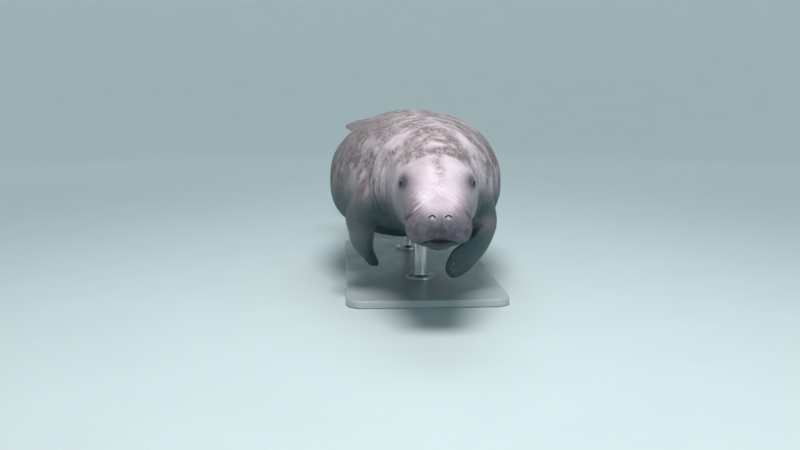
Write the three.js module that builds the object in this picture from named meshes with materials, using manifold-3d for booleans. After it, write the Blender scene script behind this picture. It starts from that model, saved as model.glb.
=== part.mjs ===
// A life-size West Indian manatee, swimming, on a plain display stand.
// Millimetres, +Z up. The animal faces -Y and its left side is at +X.
// Sizes are given from the point midway between the eyes until the whole is set on its stand.

import * as THREE from "three";
import { mergeVertices } from "three/addons/utils/BufferGeometryUtils.js";
import Module from "manifold-3d";

const wasm = await Module();
wasm.setup();

// Driving dimensions
const GAP = 0.3; // between parts that touch
const TAIL_TIP = 2650; // from the eyes back to the end of the tail paddle
const EYE_RADIUS = 12;
const HEAD_TURN = THREE.MathUtils.degToRad(2); // the head is turned to its right
const NECK_BEND_FROM = 400; // behind this the spine is straight, seen from above

// The outline of the trunk: at each distance behind the eyes, the half width, and the top and bottom lines
const TRUNK = [
  { y: -80, half: 44, top: -80, bottom: -140 },
  { y: -20, half: 98, top: 0, bottom: -168 },
  { y: 40, half: 133, top: 66, bottom: -178 },
  { y: 120, half: 149, top: 106, bottom: -184 },
  { y: 220, half: 168, top: 138, bottom: -198 },
  { y: 400, half: 222, top: 180, bottom: -226 },
  { y: 560, half: 276, top: 200, bottom: -254 },
  { y: 760, half: 334, top: 212, bottom: -300 },
  { y: 1000, half: 374, top: 218, bottom: -330 },
  { y: 1220, half: 368, top: 213, bottom: -332 },
  { y: 1450, half: 312, top: 194, bottom: -292 },
  { y: 1700, half: 222, top: 164, bottom: -198 },
  { y: 1880, half: 166, top: 142, bottom: -122 },
  { y: 2000, half: 152, top: 130, bottom: -68 },
  { y: 2120, half: 186, top: 124, bottom: -18 },
  { y: 2260, half: 262, top: 118, bottom: 22 },
  { y: 2400, half: 306, top: 120, bottom: 58 },
  { y: 2520, half: 318, top: 130, bottom: 86 },
  { y: TAIL_TIP, half: 320, top: 146, bottom: 124 },
];
const PADDLE_ROUND_FROM = 2330; // where the paddle's outline starts to round in to its end
const PADDLE_END_POWER = 2.2; // above 2 the paddle's end is blunter than an ellipse
const PADDLE_THIN = { from: 2000, to: 2300 }; // where the round stock turns into the flat paddle
const AXIS_START = -70; // where the axis starts, inside the muzzle
const BELLY_SAG = 0.06; // how far the widest level is under mid height, as a share of the height
const BACK_ROUNDNESS = 2.05; // superellipse powers, 2 is an ellipse
const BELLY_ROUNDNESS = 2.5;
const PADDLE_EDGE = 1.5; // above 1 the paddle's section thins to its margin

// The head's masses, each an ellipsoid in the head's own frame
const SKULL_BLEND = 15; // how softly the upper masses run together
const CHIN_BLEND = 7.5;
const JAW_BLEND = 6; // between the upper masses and the jaw's
const UPPER_MASSES = [
  { name: "forehead", at: [0, 36, -44], radii: [96, 86, 74], pitch: -30 },
  { name: "temple", at: [79, 28, -6], radii: [42, 66, 46], pitch: -10, paired: true },
  { name: "bridge", at: [0, -46, -82], radii: [74, 76, 48], pitch: -44 },
  { name: "nose", at: [0, -104, -112], radii: [54, 38, 36], pitch: -30 },
  { name: "cheek", at: [60, 0, -84], radii: [42, 90, 68], pitch: 0, paired: true },
  { name: "muzzle side", at: [54, -58, -124], radii: [42, 66, 48], pitch: 0, paired: true },
  { name: "lip lobe", at: [54, -92, -146], radii: [44, 43, 42], pitch: 8, paired: true },
];
const JAW_MASSES = [
  { name: "chin", at: [0, -66, -178], radii: [50, 42, 34], pitch: 0 },
  { name: "jaw", at: [0, -16, -148], radii: [74, 80, 42], pitch: 4 },
];

// The mouth: an arch over the lower jaw that spreads behind the lip lobes to the mouth's corners
const MOUTH_ARCH = [
  { y: -190, half: 58, top: -178, square: 0.6 },
  { y: -116, half: 60, top: -178, square: 0.6 },
  { y: -98, half: 68, top: -176, square: 0.5 },
  { y: -78, half: 88, top: -171, square: 0.4 },
  { y: -60, half: 116, top: -164, square: 0.25 },
  { y: -24, half: 124, top: -153, square: 0.2 },
  { y: -8, half: 124, top: -154, square: 0.2 },
];
const MOUTH_FLOOR = -192; // from here down the mouth's sides are straight
const MOUTH_CROWN = 0.8; // under 1 the arch is flatter on top than an ellipse
const JAW_FLOOR = -260; // clear below the chin
const MOUTH_CORNER = { from: -30, to: -14 }; // where the groove between the lips runs out
const LIP_ROUND = { depth: 5, width: 8 };

// Eyes, nostrils and creases, in the head's frame
const EYE_AT = { y: 0, z: 0 };
const EYE_FACING = [0.8, -0.58, 0.12];
const EYE_PROUD = 4.5; // how far the eyeball stands out of its socket's floor
const SOCKET = { depth: 6, width: 22, x: 118 };
const BROW = { rise: 5, x: 104, y: -6, z: 36, width: 24 };
const LID = { ring: 11.5, roll: 5, wide: 1.3, tall: 0.9, tilt: 10, out: 6 };
const NOSTRIL_AT = { x: 26, z: -95 };
const NOSTRIL_FACING = [0.06, -0.86, 0.5];
const NOSTRIL_ARC = { radius: 9.5, slit: 3, turn: 190, depth: 14, cut: 40 };
const NOSE_VALVE = { rise: 3.4, width: 8, below: 7 };
const PHILTRUM = { depth: 3, width: 5, top: -82, bottom: -150, fade: 8 };
const FACE_BACK = 80; // behind this the skin has no creases of the face
const NOSE_BACK = -60; // and behind this none of the nose

// Resolution
const HEAD_SIDES = 64;
const TRUNK_SIDES = 44;
const LIMB_SIDES = 26;

const TINY = 1e-3;
const clamp01 = (x) => Math.min(1, Math.max(0, x));

// A smooth value through stations: each cubic takes its end slopes from the neighbours.
function through(stations, key, y) {
  const last = stations.length - 1;
  if (y <= stations[0].y) return stations[0][key];
  if (y >= stations[last].y) return stations[last][key];
  const slope = (i) => {
    const a = stations[Math.max(0, i - 1)];
    const b = stations[Math.min(last, i + 1)];
    return (b[key] - a[key]) / (b.y - a.y);
  };
  const i = stations.findIndex((s) => s.y > y) - 1;
  const a = stations[i];
  const b = stations[i + 1];
  const width = b.y - a.y;
  const t = (y - a.y) / width;
  const t2 = t * t;
  const t3 = t2 * t;
  return (
    (2 * t3 - 3 * t2 + 1) * a[key] +
    (t3 - 2 * t2 + t) * width * slope(i) +
    (-2 * t3 + 3 * t2) * b[key] +
    (t3 - t2) * width * slope(i + 1)
  );
}

// The body's axis, from inside the muzzle to the tail's end
function axisPoint(y) {
  const bend = Math.tan(HEAD_TURN) / (2 * NECK_BEND_FROM);
  const eyesX = -bend * NECK_BEND_FROM ** 2;
  let x = 0;
  if (y < 0) x = eyesX + y * Math.tan(HEAD_TURN);
  else if (y < NECK_BEND_FROM) x = -bend * (NECK_BEND_FROM - y) ** 2;
  const top = through(TRUNK, "top", y);
  const bottom = through(TRUNK, "bottom", y);
  const z = (top + bottom) / 2 - BELLY_SAG * (top - bottom);
  return new THREE.Vector3(x, y, z);
}

const HEAD_ORIGIN = axisPoint(0).setZ(0);

// A point in the head's own frame, with the head's turn taken out
function inHead(p) {
  const q = p.clone().sub(HEAD_ORIGIN);
  return q.applyAxisAngle(new THREE.Vector3(0, 0, 1), HEAD_TURN);
}

function fromHead(q) {
  return q.clone().applyAxisAngle(new THREE.Vector3(0, 0, 1), -HEAD_TURN).add(HEAD_ORIGIN);
}

// Roughly how far a point of the head's frame is outside an ellipsoid
function massDistance(mass, side, q) {
  const pitch = THREE.MathUtils.degToRad(mass.pitch);
  const x = q.x - side * mass.at[0];
  const dy = q.y - mass.at[1];
  const dz = q.z - mass.at[2];
  const y = dy * Math.cos(pitch) - dz * Math.sin(pitch);
  const z = dy * Math.sin(pitch) + dz * Math.cos(pitch);
  const [rx, ry, rz] = mass.radii;
  const near = Math.hypot(x / rx, y / ry, z / rz);
  const steep = Math.hypot(x / rx ** 2, y / ry ** 2, z / rz ** 2);
  return steep > 0 ? (near * (near - 1)) / steep : -Math.min(rx, ry, rz);
}

function blended(distances, blend) {
  const least = Math.min(...distances);
  const sum = distances.reduce((s, d) => s + Math.exp((least - d) / blend), 0);
  return least - blend * Math.log(sum);
}

function massesDistance(masses, q, blend) {
  const all = [];
  for (const mass of masses) {
    all.push(massDistance(mass, 1, q));
    if (mass.paired) all.push(massDistance(mass, -1, q));
  }
  return blended(all, blend);
}

function headDistance(p) {
  const q = inHead(p);
  const upper = massesDistance(UPPER_MASSES, q, SKULL_BLEND);
  const jaw = massesDistance(JAW_MASSES, q, CHIN_BLEND);
  return blended([upper, jaw], JAW_BLEND);
}

const bell = (x, width) => Math.exp(-((x / width) ** 2));

function mouthArch(y) {
  return {
    half: through(MOUTH_ARCH, "half", y),
    top: through(MOUTH_ARCH, "top", y),
    square: through(MOUTH_ARCH, "square", y),
  };
}

// Roughly how far a point of the head's frame is from the surface where the lips meet
function mouthDistance(q) {
  const { half, top, square } = mouthArch(q.y);
  const x = Math.abs(q.x);
  const rise = clamp01((q.z - MOUTH_FLOOR) / (top - MOUTH_FLOOR));
  const sideways = x - half * Math.sqrt(1 - rise ** (2 / MOUTH_CROWN)) ** square;
  const run = clamp01(x / half) ** (1 / square);
  const above = q.z - (MOUTH_FLOOR + (top - MOUTH_FLOOR) * Math.sqrt(1 - run ** 2) ** MOUTH_CROWN);
  if (q.z > top) return above;
  if (q.z < MOUTH_FLOOR) return sideways;
  return (sideways * above) / Math.max(TINY, Math.hypot(sideways, above));
}

// How far the skin stands proud of the masses under it, below 0 in a crease
function detailRise(p) {
  const q = inHead(p);
  const x = Math.abs(q.x);
  if (q.y > FACE_BACK) return 0;
  const eye = Math.hypot(x - SOCKET.x, q.y - EYE_AT.y, q.z - EYE_AT.z);
  let rise = -SOCKET.depth * bell(eye, SOCKET.width);
  rise += BROW.rise * bell(Math.hypot(x - BROW.x, q.y - BROW.y, q.z - BROW.z), BROW.width);
  const lips = 1 - THREE.MathUtils.smoothstep(q.y, MOUTH_CORNER.from, MOUTH_CORNER.to);
  rise -= LIP_ROUND.depth * bell(mouthDistance(q), LIP_ROUND.width) * lips;
  if (q.y > NOSE_BACK) return rise;
  const valve = Math.hypot(x - NOSTRIL_AT.x, q.z - NOSTRIL_AT.z + NOSE_VALVE.below);
  rise += NOSE_VALVE.rise * bell(valve, NOSE_VALVE.width);
  const { depth, width, top, bottom, fade } = PHILTRUM;
  const low = THREE.MathUtils.smoothstep(q.z, bottom - fade, bottom + fade);
  const high = 1 - THREE.MathUtils.smoothstep(q.z, top - fade, top + fade);
  rise -= depth * bell(x, width) * low * high;
  return rise;
}

// How far the head reaches from a point inside it along a direction, or 0 where it doesn't reach
const HEAD_REACH = 420;
const TRACE_STEPS = 40;
const TRACE_SHARE = 0.9; // each step goes this share of the distance left
const TRACE_CLOSE = 0.05;
function headReach(from, direction) {
  let reach = HEAD_REACH;
  for (let i = 0; i < TRACE_STEPS && reach > 0; i++) {
    const d = headDistance(from.clone().addScaledVector(direction, reach));
    if (d < TRACE_CLOSE) break;
    reach -= Math.max(d * TRACE_SHARE, TRACE_CLOSE);
  }
  return Math.max(0, reach);
}

function smoothMax(a, b, blend) {
  const share = clamp01(0.5 + (a - b) / (2 * blend));
  return b + (a - b) * share + blend * share * (1 - share);
}

// The frame of a cross section: its centre, the way back along the axis, the left side and up
const AXIS_STEP = 5;
function sectionFrame(y) {
  const centre = axisPoint(y);
  const back = axisPoint(y + AXIS_STEP).sub(axisPoint(y - AXIS_STEP)).normalize();
  const side = new THREE.Vector3().crossVectors(back, new THREE.Vector3(0, 0, 1)).normalize();
  const up = new THREE.Vector3().crossVectors(side, back);
  return { centre, back, side, up };
}

const power = (x, n) => Math.sign(x) * Math.abs(x) ** n;

// The trunk's own offset from its axis at an angle round the section: sideways and up
function trunkOffset(y, angle) {
  const top = through(TRUNK, "top", y);
  const bottom = through(TRUNK, "bottom", y);
  const level = (top + bottom) / 2 - BELLY_SAG * (top - bottom);
  const rounding = clamp01((y - PADDLE_ROUND_FROM) / (TAIL_TIP - PADDLE_ROUND_FROM));
  const outline = Math.sqrt(Math.max(0, 1 - rounding ** PADDLE_END_POWER));
  const half = through(TRUNK, "half", y) * outline;
  const thin = THREE.MathUtils.smoothstep(y, PADDLE_THIN.from, PADDLE_THIN.to);
  const upper = Math.sin(angle) >= 0;
  const roundness = THREE.MathUtils.lerp(upper ? BACK_ROUNDNESS : BELLY_ROUNDNESS, 2, thin);
  const height = (upper ? top - level : level - bottom) * (1 - thin + thin * outline);
  const edge = 1 + thin * (PADDLE_EDGE - 1);
  return [
    half * power(Math.cos(angle), 2 / roundness),
    height * power(Math.sin(angle), (2 / roundness) * edge),
  ];
}

const HEAD_BLEND = 46; // how softly the head runs into the trunk
const HEAD_ENDS = 560;
const FRONT_POWER = 6; // how fast the trunk draws back from the front of the muzzle

// A point of the skin. lift is the angle off the muzzle's front, a right angle from the first section back.
function skinPoint(y, angle, lift = Math.PI / 2, grow = 0) {
  const frame = sectionFrame(y);
  const [across, up] = trunkOffset(y, angle);
  const spread = frame.side.clone().multiplyScalar(across).addScaledVector(frame.up, up);
  let reach = spread.length() * Math.sin(lift) ** FRONT_POWER;
  const direction = spread.normalize().multiplyScalar(Math.sin(lift));
  direction.addScaledVector(frame.back, -Math.cos(lift));
  direction.normalize();
  if (y < HEAD_ENDS) {
    const head = headReach(frame.centre, direction);
    if (head > 0) reach = smoothMax(head, reach, HEAD_BLEND);
    reach += detailRise(frame.centre.clone().addScaledVector(direction, reach));
  }
  return frame.centre.clone().addScaledVector(direction, reach + grow);
}

// How far a point is outside the skin, along the line from the axis
const SEEK_STEPS = 8;
const SEAT_SHARE = 0.8;
function skinGap(p) {
  let y = p.y;
  let frame = sectionFrame(y);
  for (let i = 0; i < SEEK_STEPS; i++) {
    y = Math.max(AXIS_START, y + p.clone().sub(frame.centre).dot(frame.back));
    frame = sectionFrame(y);
  }
  const out = p.clone().sub(frame.centre);
  const angle = Math.atan2(out.dot(frame.up), out.dot(frame.side));
  const length = out.length();
  const lift = y > AXIS_START ? Math.PI / 2 : Math.acos(-out.dot(frame.back) / length);
  return length - skinPoint(y, angle, lift).distanceTo(frame.centre);
}

// The point of the skin straight in from a point outside it
function seatOn(from, facing) {
  const p = from.clone();
  for (let i = 0; i < TRACE_STEPS; i++) p.addScaledVector(facing, -SEAT_SHARE * skinGap(p));
  return p;
}

function ringAt(y, sides, lift, grow, shift = 0) {
  const back = sectionFrame(y).back;
  const ring = [];
  for (let i = 0; i < sides; i++) {
    const angle = (2 * Math.PI * i) / sides;
    ring.push(skinPoint(y, angle, lift, grow).addScaledVector(back, shift));
  }
  return ring;
}

// A closed skin over rings of equal length, each end closed to a point at its middle
function skinOver(rings) {
  const sides = rings[0].length;
  const middle = (ring) =>
    ring.reduce((s, p) => s.add(p), new THREE.Vector3()).divideScalar(sides);
  const points = [...rings.flat(), middle(rings[0]), middle(rings[rings.length - 1])];
  const first = points.length - 2;
  const last = points.length - 1;
  const faces = [];
  for (let i = 0; i < sides; i++) {
    const j = (i + 1) % sides;
    for (let r = 0; r < rings.length - 1; r++) {
      const a = r * sides;
      const b = a + sides;
      faces.push(a + i, b + i, b + j, a + i, b + j, a + j);
    }
    const end = (rings.length - 1) * sides;
    faces.push(first, i, j);
    faces.push(last, end + j, end + i);
  }
  const geometry = new THREE.BufferGeometry().setFromPoints(points);
  geometry.setIndex(faces);
  return geometry;
}

// Joining and cutting
function solidOf(geometry) {
  const bare = geometry.clone();
  bare.deleteAttribute("normal");
  bare.deleteAttribute("uv");
  const merged = mergeVertices(bare, 1e-4);
  const solid = new wasm.Manifold(
    new wasm.Mesh({
      numProp: 3,
      vertProperties: merged.attributes.position.array,
      triVerts: new Uint32Array(merged.index.array),
    }),
  );
  if (solid.volume() > 0) return solid;
  const turned = new Uint32Array(merged.index.array);
  for (let i = 0; i < turned.length; i += 3) {
    [turned[i + 1], turned[i + 2]] = [turned[i + 2], turned[i + 1]];
  }
  return new wasm.Manifold(
    new wasm.Mesh({
      numProp: 3,
      vertProperties: merged.attributes.position.array,
      triVerts: turned,
    }),
  );
}

function largestOf(solid) {
  return solid.decompose().reduce((a, b) => (b.volume() > a.volume() ? b : a));
}

function geometryOf(solid) {
  const mesh = solid.getMesh();
  const geometry = new THREE.BufferGeometry();
  geometry.setAttribute("position", new THREE.BufferAttribute(mesh.vertProperties, 3));
  geometry.setIndex(new THREE.BufferAttribute(mesh.triVerts, 1));
  return geometry;
}

// The body along its axis: each part runs between two sections
function range(from, to, count) {
  return Array.from({ length: count }, (_, i) => from + ((to - from) * i) / (count - 1));
}

const MUZZLE_BACK = -42;
const STOCK_BACK = 2100;
const STRETCHES = {
  head: { from: MUZZLE_BACK, to: 190, rings: 18, sides: HEAD_SIDES },
  neck: { from: 190, to: 390, rings: 8, sides: TRUNK_SIDES },
  chest: { from: 390, to: 820, rings: 11, sides: TRUNK_SIDES },
  belly: { from: 820, to: 1480, rings: 12, sides: TRUNK_SIDES },
  tail_stock: { from: 1480, to: STOCK_BACK, rings: 12, sides: TRUNK_SIDES },
};

// Each stretch stops just short of the next; one that is grown, to cut with, runs past its ends.
function trunkPart({ from, to, rings: count, sides }, grow = 0) {
  const inset = grow > 0 ? -GAP : GAP / 2;
  const rings = range(from, to, count).map((y, i) => {
    const shift = i === 0 ? inset : i === count - 1 ? -inset : 0;
    return ringAt(y, sides, Math.PI / 2, grow, shift);
  });
  return skinOver(rings);
}

const FRONT_LIFT = 0.06; // the first ring's angle off the muzzle's front
function muzzleGeometry() {
  const lifts = range(FRONT_LIFT, Math.PI / 2, 14);
  const rings = lifts.map((lift) => ringAt(AXIS_START, HEAD_SIDES, lift, 0));
  for (const y of range(AXIS_START, MUZZLE_BACK, 4).slice(1)) {
    const shift = y === MUZZLE_BACK ? -GAP / 2 : 0;
    rings.push(ringAt(y, HEAD_SIDES, Math.PI / 2, 0, shift));
  }
  return skinOver(rings);
}

const PADDLE_LENGTH = (TAIL_TIP - STOCK_BACK) * 0.9995; // short of the end, where the outline has no width
function paddleGeometry() {
  const turns = range(0, Math.PI / 2, 16);
  const rings = turns.map((turn, i) => {
    const y = STOCK_BACK + PADDLE_LENGTH * Math.sin(turn);
    return ringAt(y, TRUNK_SIDES, Math.PI / 2, 0, i === 0 ? GAP / 2 : 0);
  });
  return skinOver(rings);
}

// A closed box-like solid through outlines of equal length
const MOUTH_SIDES = 24;
function mouthSolid(grow) {
  const rings = MOUTH_ARCH.map((station, k) => {
    const back = k === MOUTH_ARCH.length - 1 ? grow : 0;
    const ring = [];
    for (let i = 0; i <= MOUTH_SIDES; i++) {
      const t = (Math.PI * i) / MOUTH_SIDES;
      const x = (station.half + grow) * power(Math.cos(t), station.square);
      const z = MOUTH_FLOOR + (station.top + grow - MOUTH_FLOOR) * power(Math.sin(t), MOUTH_CROWN);
      ring.push(new THREE.Vector3(x, station.y + back, z));
    }
    ring.push(new THREE.Vector3(-station.half - grow, station.y + back, JAW_FLOOR));
    ring.push(new THREE.Vector3(station.half + grow, station.y + back, JAW_FLOOR));
    return ring.map(fromHead);
  });
  return solidOf(skinOver(rings));
}

const mirrored = (v, side) => new THREE.Vector3(v[0] * side, v[1], v[2]);
const turnedWithHead = (v) => v.applyAxisAngle(new THREE.Vector3(0, 0, 1), -HEAD_TURN).normalize();

function lookingAlong(facing) {
  return new THREE.Matrix4().lookAt(facing, new THREE.Vector3(), new THREE.Vector3(0, 0, 1));
}

const EYE_START = 160; // how far out the search for the eye's seat starts
function eyeFrame(side) {
  const facing = turnedWithHead(mirrored(EYE_FACING, side));
  const outward = turnedWithHead(new THREE.Vector3(side, 0, 0));
  const seat = seatOn(fromHead(new THREE.Vector3(side * EYE_START, EYE_AT.y, EYE_AT.z)), outward);
  const centre = seat.clone().addScaledVector(facing, EYE_PROUD - EYE_RADIUS);
  return { seat, centre, facing };
}
const EYE_FRAMES = { left: eyeFrame(1), right: eyeFrame(-1) };

function eyeball({ centre, facing }, grow) {
  const ball = new THREE.SphereGeometry(EYE_RADIUS + grow, 16, 10);
  ball.rotateX(Math.PI / 2).applyMatrix4(lookingAlong(facing));
  return solidOf(ball.translate(centre.x, centre.y, centre.z));
}

// The lids: a soft oval roll round the eye
function eyelids({ centre, facing }, side) {
  const roll = new THREE.TorusGeometry(LID.ring, LID.roll, 8, 26);
  roll.scale(LID.wide, LID.tall, 1).rotateZ(side * THREE.MathUtils.degToRad(LID.tilt));
  roll.applyMatrix4(lookingAlong(facing));
  const at = centre.clone().addScaledVector(facing, LID.out);
  return solidOf(roll.translate(at.x, at.y, at.z));
}

// A nostril: a closed crescent cut into the nose above its valve
const NOSTRIL_START = -240;
function nostril(side) {
  const { radius, slit, turn, depth, cut: length } = NOSTRIL_ARC;
  const half = THREE.MathUtils.degToRad(turn) / 2;
  const shape = new THREE.Shape();
  shape.absarc(0, 0, radius + slit / 2, Math.PI / 2 - half, Math.PI / 2 + half, false);
  shape.absarc(0, 0, radius - slit / 2, Math.PI / 2 + half, Math.PI / 2 - half, true);
  const cut = new THREE.ExtrudeGeometry(shape, { depth: length, bevelEnabled: false, curveSegments: 9 });
  const facing = turnedWithHead(mirrored(NOSTRIL_FACING, side));
  const start = fromHead(new THREE.Vector3(side * NOSTRIL_AT.x, NOSTRIL_START, NOSTRIL_AT.z));
  const seat = seatOn(start, turnedWithHead(new THREE.Vector3(0, -1, 0)));
  seat.addScaledVector(facing, -depth);
  cut.applyMatrix4(lookingAlong(facing));
  return solidOf(cut.translate(seat.x, seat.y, seat.z));
}

// The flippers: the limb's middle line with the way from its rear edge to its front edge at each point
const FLIPPERS = {
  left: {
    side: 1,
    middle: [
      [120, 480, -60],
      [212, 474, -190],
      [196, 432, -272],
      [144, 378, -318],
      [94, 332, -338],
      [58, 296, -348],
    ],
    chord: [
      [0, -1, 0],
      [0.1, -1, -0.05],
      [-0.2, -0.92, 0.3],
      [-0.4, -0.65, 0.55],
      [-0.42, -0.6, 0.6],
      [-0.42, -0.6, 0.6],
    ],
  },
  right: {
    side: -1,
    middle: [
      [-130, 430, -60],
      [-248, 450, -160],
      [-250, 500, -250],
      [-241, 560, -313],
      [-221, 610, -358],
      [-201, 648, -394],
    ],
    chord: [
      [0, -1, 0],
      [0.1, -1, -0.3],
      [0.35, -0.85, -0.3],
      [0.46, -0.78, -0.15],
      [0.43, -0.82, -0.1],
      [0.4, -0.85, -0.1],
    ],
  },
};
const FLIPPER_OUTLINE = [
  { y: 0, half: 92, thick: 76 },
  { y: 0.2, half: 84, thick: 62 },
  { y: 0.4, half: 76, thick: 42 },
  { y: 0.6, half: 71, thick: 26 },
  { y: 0.8, half: 64, thick: 17 },
  { y: 1, half: 50, thick: 9 },
];
const FLIPPER_TIP_FROM = 0.66; // where the outline starts to round in to the tip
const FLIPPER_TIP = { power: 2.1, keep: 0.4, close: 8 }; // its bluntness, and how its thickness closes
const FLIPPER_EDGE = 0.25; // how much thinner the margins grow towards the tip
const NAILS = { along: [0.9, 0.93, 0.9], across: [-0.34, 0.02, 0.38], long: 9, broad: 6.5, thick: 3.2 };

const spline = (points) =>
  new THREE.CatmullRomCurve3(points.map((p) => new THREE.Vector3(...p)), false, "centripetal");

function limbFrame(limb, u) {
  const middle = spline(limb.middle);
  const centre = middle.getPoint(u);
  const along = middle.getTangent(u);
  const chord = spline(limb.chord).getPoint(u);
  chord.addScaledVector(along, -chord.dot(along)).normalize();
  const face = new THREE.Vector3().crossVectors(chord, along).multiplyScalar(limb.side);
  const end = clamp01((u - FLIPPER_TIP_FROM) / (1 - FLIPPER_TIP_FROM));
  const outline = Math.sqrt(1 - end ** FLIPPER_TIP.power);
  const half = through(FLIPPER_OUTLINE, "half", u) * outline;
  const closing = Math.min(1, FLIPPER_TIP.keep + outline, FLIPPER_TIP.close * outline);
  const thick = through(FLIPPER_OUTLINE, "thick", u) * closing;
  return { centre, along, chord, face, half, thick };
}

const FLIPPER_END = 0.999; // short of the tip, where the outline has no width
const FLIPPER_SPACING = 1.2; // above 1 the rings crowd towards the root
function flipperGeometry(limb) {
  const rings = range(0, Math.PI / 2, 18).map((turn) => {
    const u = FLIPPER_END * Math.sin(turn) ** FLIPPER_SPACING;
    const { centre, chord, face, half, thick } = limbFrame(limb, u);
    const ring = [];
    for (let i = 0; i < LIMB_SIDES; i++) {
      const angle = (2 * Math.PI * i) / LIMB_SIDES;
      ring.push(
        centre
          .clone()
          .addScaledVector(chord, half * Math.cos(angle))
          .addScaledVector(face, thick * power(Math.sin(angle), 1 + FLIPPER_EDGE * u)),
      );
    }
    return ring;
  });
  return skinOver(rings);
}

// A nail: a small oval plate set in the limb's outer face near its tip
function nail(limb, index, grow) {
  const { centre, along, chord, face, half, thick } = limbFrame(limb, NAILS.along[index]);
  const across = NAILS.across[index];
  const plate = new THREE.SphereGeometry(1, 10, 6);
  plate.scale(NAILS.broad + grow, NAILS.long + grow, NAILS.thick + grow);
  plate.applyMatrix4(new THREE.Matrix4().makeBasis(chord, along, face));
  const seat = centre.clone().addScaledVector(chord, half * across);
  seat.addScaledVector(face, thick * Math.sqrt(1 - across ** 2));
  return solidOf(plate.translate(seat.x, seat.y, seat.z));
}

// The stand
const BASE = { length: 1400, width: 620, thick: 30, corner: 60, bevel: 6, middle: 1010 };
const BASE_TOP = -470; // from the eyes down to the top of the base
const ROD_RADIUS = 24;
const ROD_AT = { front: 720, rear: 1430 };
const ROD_FOOT = { radius: 60, thick: 12, edge: 3, collar: 6 };
const ROD_TENON = 80; // how far a rod's stock runs up past the belly line before it is cut to the skin

function baseGeometry() {
  const { length, width, thick, corner, bevel, middle } = BASE;
  const x = width / 2 - bevel;
  const y = length / 2 - bevel;
  const outline = new THREE.Shape();
  outline.moveTo(x, y - corner);
  outline.absarc(x - corner, y - corner, corner, 0, Math.PI / 2, false);
  outline.absarc(-x + corner, y - corner, corner, Math.PI / 2, Math.PI, false);
  outline.absarc(-x + corner, -y + corner, corner, Math.PI, 1.5 * Math.PI, false);
  outline.absarc(x - corner, -y + corner, corner, 1.5 * Math.PI, 2 * Math.PI, false);
  const plate = new THREE.ExtrudeGeometry(outline, {
    depth: thick - 2 * bevel,
    bevelSize: bevel,
    bevelThickness: bevel,
    bevelSegments: 2,
    curveSegments: 6,
  });
  return plate.translate(0, middle, BASE_TOP - thick + bevel);
}

function rodSolid(y) {
  const low = BASE_TOP + GAP;
  const high = through(TRUNK, "bottom", y) + ROD_TENON;
  const { radius, thick, edge, collar } = ROD_FOOT;
  const profile = [
    new THREE.Vector2(0, low),
    new THREE.Vector2(radius, low),
    new THREE.Vector2(radius, low + thick - edge),
    new THREE.Vector2(radius - edge, low + thick),
    new THREE.Vector2(ROD_RADIUS + collar, low + thick),
    new THREE.Vector2(ROD_RADIUS, low + thick + collar),
    new THREE.Vector2(ROD_RADIUS, high),
    new THREE.Vector2(0, high),
  ];
  const rod = new THREE.LatheGeometry(profile, 24).rotateX(Math.PI / 2);
  return solidOf(rod.translate(0, y, 0));
}

// Assembly
const skull = solidOf(muzzleGeometry());
const trunkToCutWith = ["head", "neck", "chest", "belly"].map((name) =>
  solidOf(trunkPart(STRETCHES[name], GAP)),
);
const clearOfTrunk = (solid) => trunkToCutWith.reduce((rest, trunk) => rest.subtract(trunk), solid);

let muzzle = skull.subtract(mouthSolid(GAP));
for (const side of [1, -1]) muzzle = muzzle.subtract(nostril(side));
const jaw = skull.intersect(mouthSolid(0));
let head = solidOf(trunkPart(STRETCHES.head));
for (const [name, eye] of Object.entries(EYE_FRAMES)) {
  head = head.add(eyelids(eye, name === "left" ? 1 : -1)).subtract(eyeball(eye, GAP));
}

const manatee = new THREE.Group();
manatee.name = "manatee";

function addNode(name, geometry, colour, roughness = 0.6, metalness = 0) {
  const material = new THREE.MeshStandardMaterial({ color: colour, roughness, metalness });
  const mesh = new THREE.Mesh(geometry, material);
  mesh.name = name;
  manatee.add(mesh);
}

const SKIN = 0x9a919c;
const EYE = 0x16161c;
const NAIL = 0xb8b09a;
const STAND = 0xaab0b1;
const STEEL = 0xa8abb0;
addNode("muzzle", geometryOf(largestOf(muzzle)), SKIN);
addNode("lower_jaw", geometryOf(largestOf(jaw)), SKIN);
addNode("head", geometryOf(largestOf(head)), SKIN);
for (const [name, eye] of Object.entries(EYE_FRAMES)) {
  addNode("eye_" + name, geometryOf(eyeball(eye, 0)), EYE, 0.15);
}
for (const name of ["neck", "chest", "belly", "tail_stock"]) {
  addNode(name, trunkPart(STRETCHES[name]), SKIN);
}
addNode("tail_paddle", paddleGeometry(), SKIN);
for (const [name, limb] of Object.entries(FLIPPERS)) {
  let flipper = clearOfTrunk(solidOf(flipperGeometry(limb)));
  for (let i = 0; i < NAILS.along.length; i++) {
    flipper = flipper.subtract(nail(limb, i, GAP));
    addNode(`nail_${name}_${i + 1}`, geometryOf(nail(limb, i, 0)), NAIL, 0.4);
  }
  addNode("flipper_" + name, geometryOf(largestOf(flipper)), SKIN);
}
addNode("stand_base", baseGeometry(), STAND, 0.5);
for (const [name, y] of Object.entries(ROD_AT)) {
  addNode("stand_rod_" + name, geometryOf(clearOfTrunk(rodSolid(y))), STEEL, 0.3, 1);
}

// The whole is set with the middle of its footprint on the floor at the origin.
const bounds = new THREE.Box3().setFromObject(manatee);
const middle = bounds.getCenter(new THREE.Vector3());
for (const mesh of manatee.children) {
  mesh.geometry.translate(-middle.x, -middle.y, -bounds.min.z);
}

export default manatee;
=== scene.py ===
import math

import bmesh
import bpy
import numpy as np
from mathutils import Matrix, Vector
from mathutils.bvhtree import BVHTree


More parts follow.
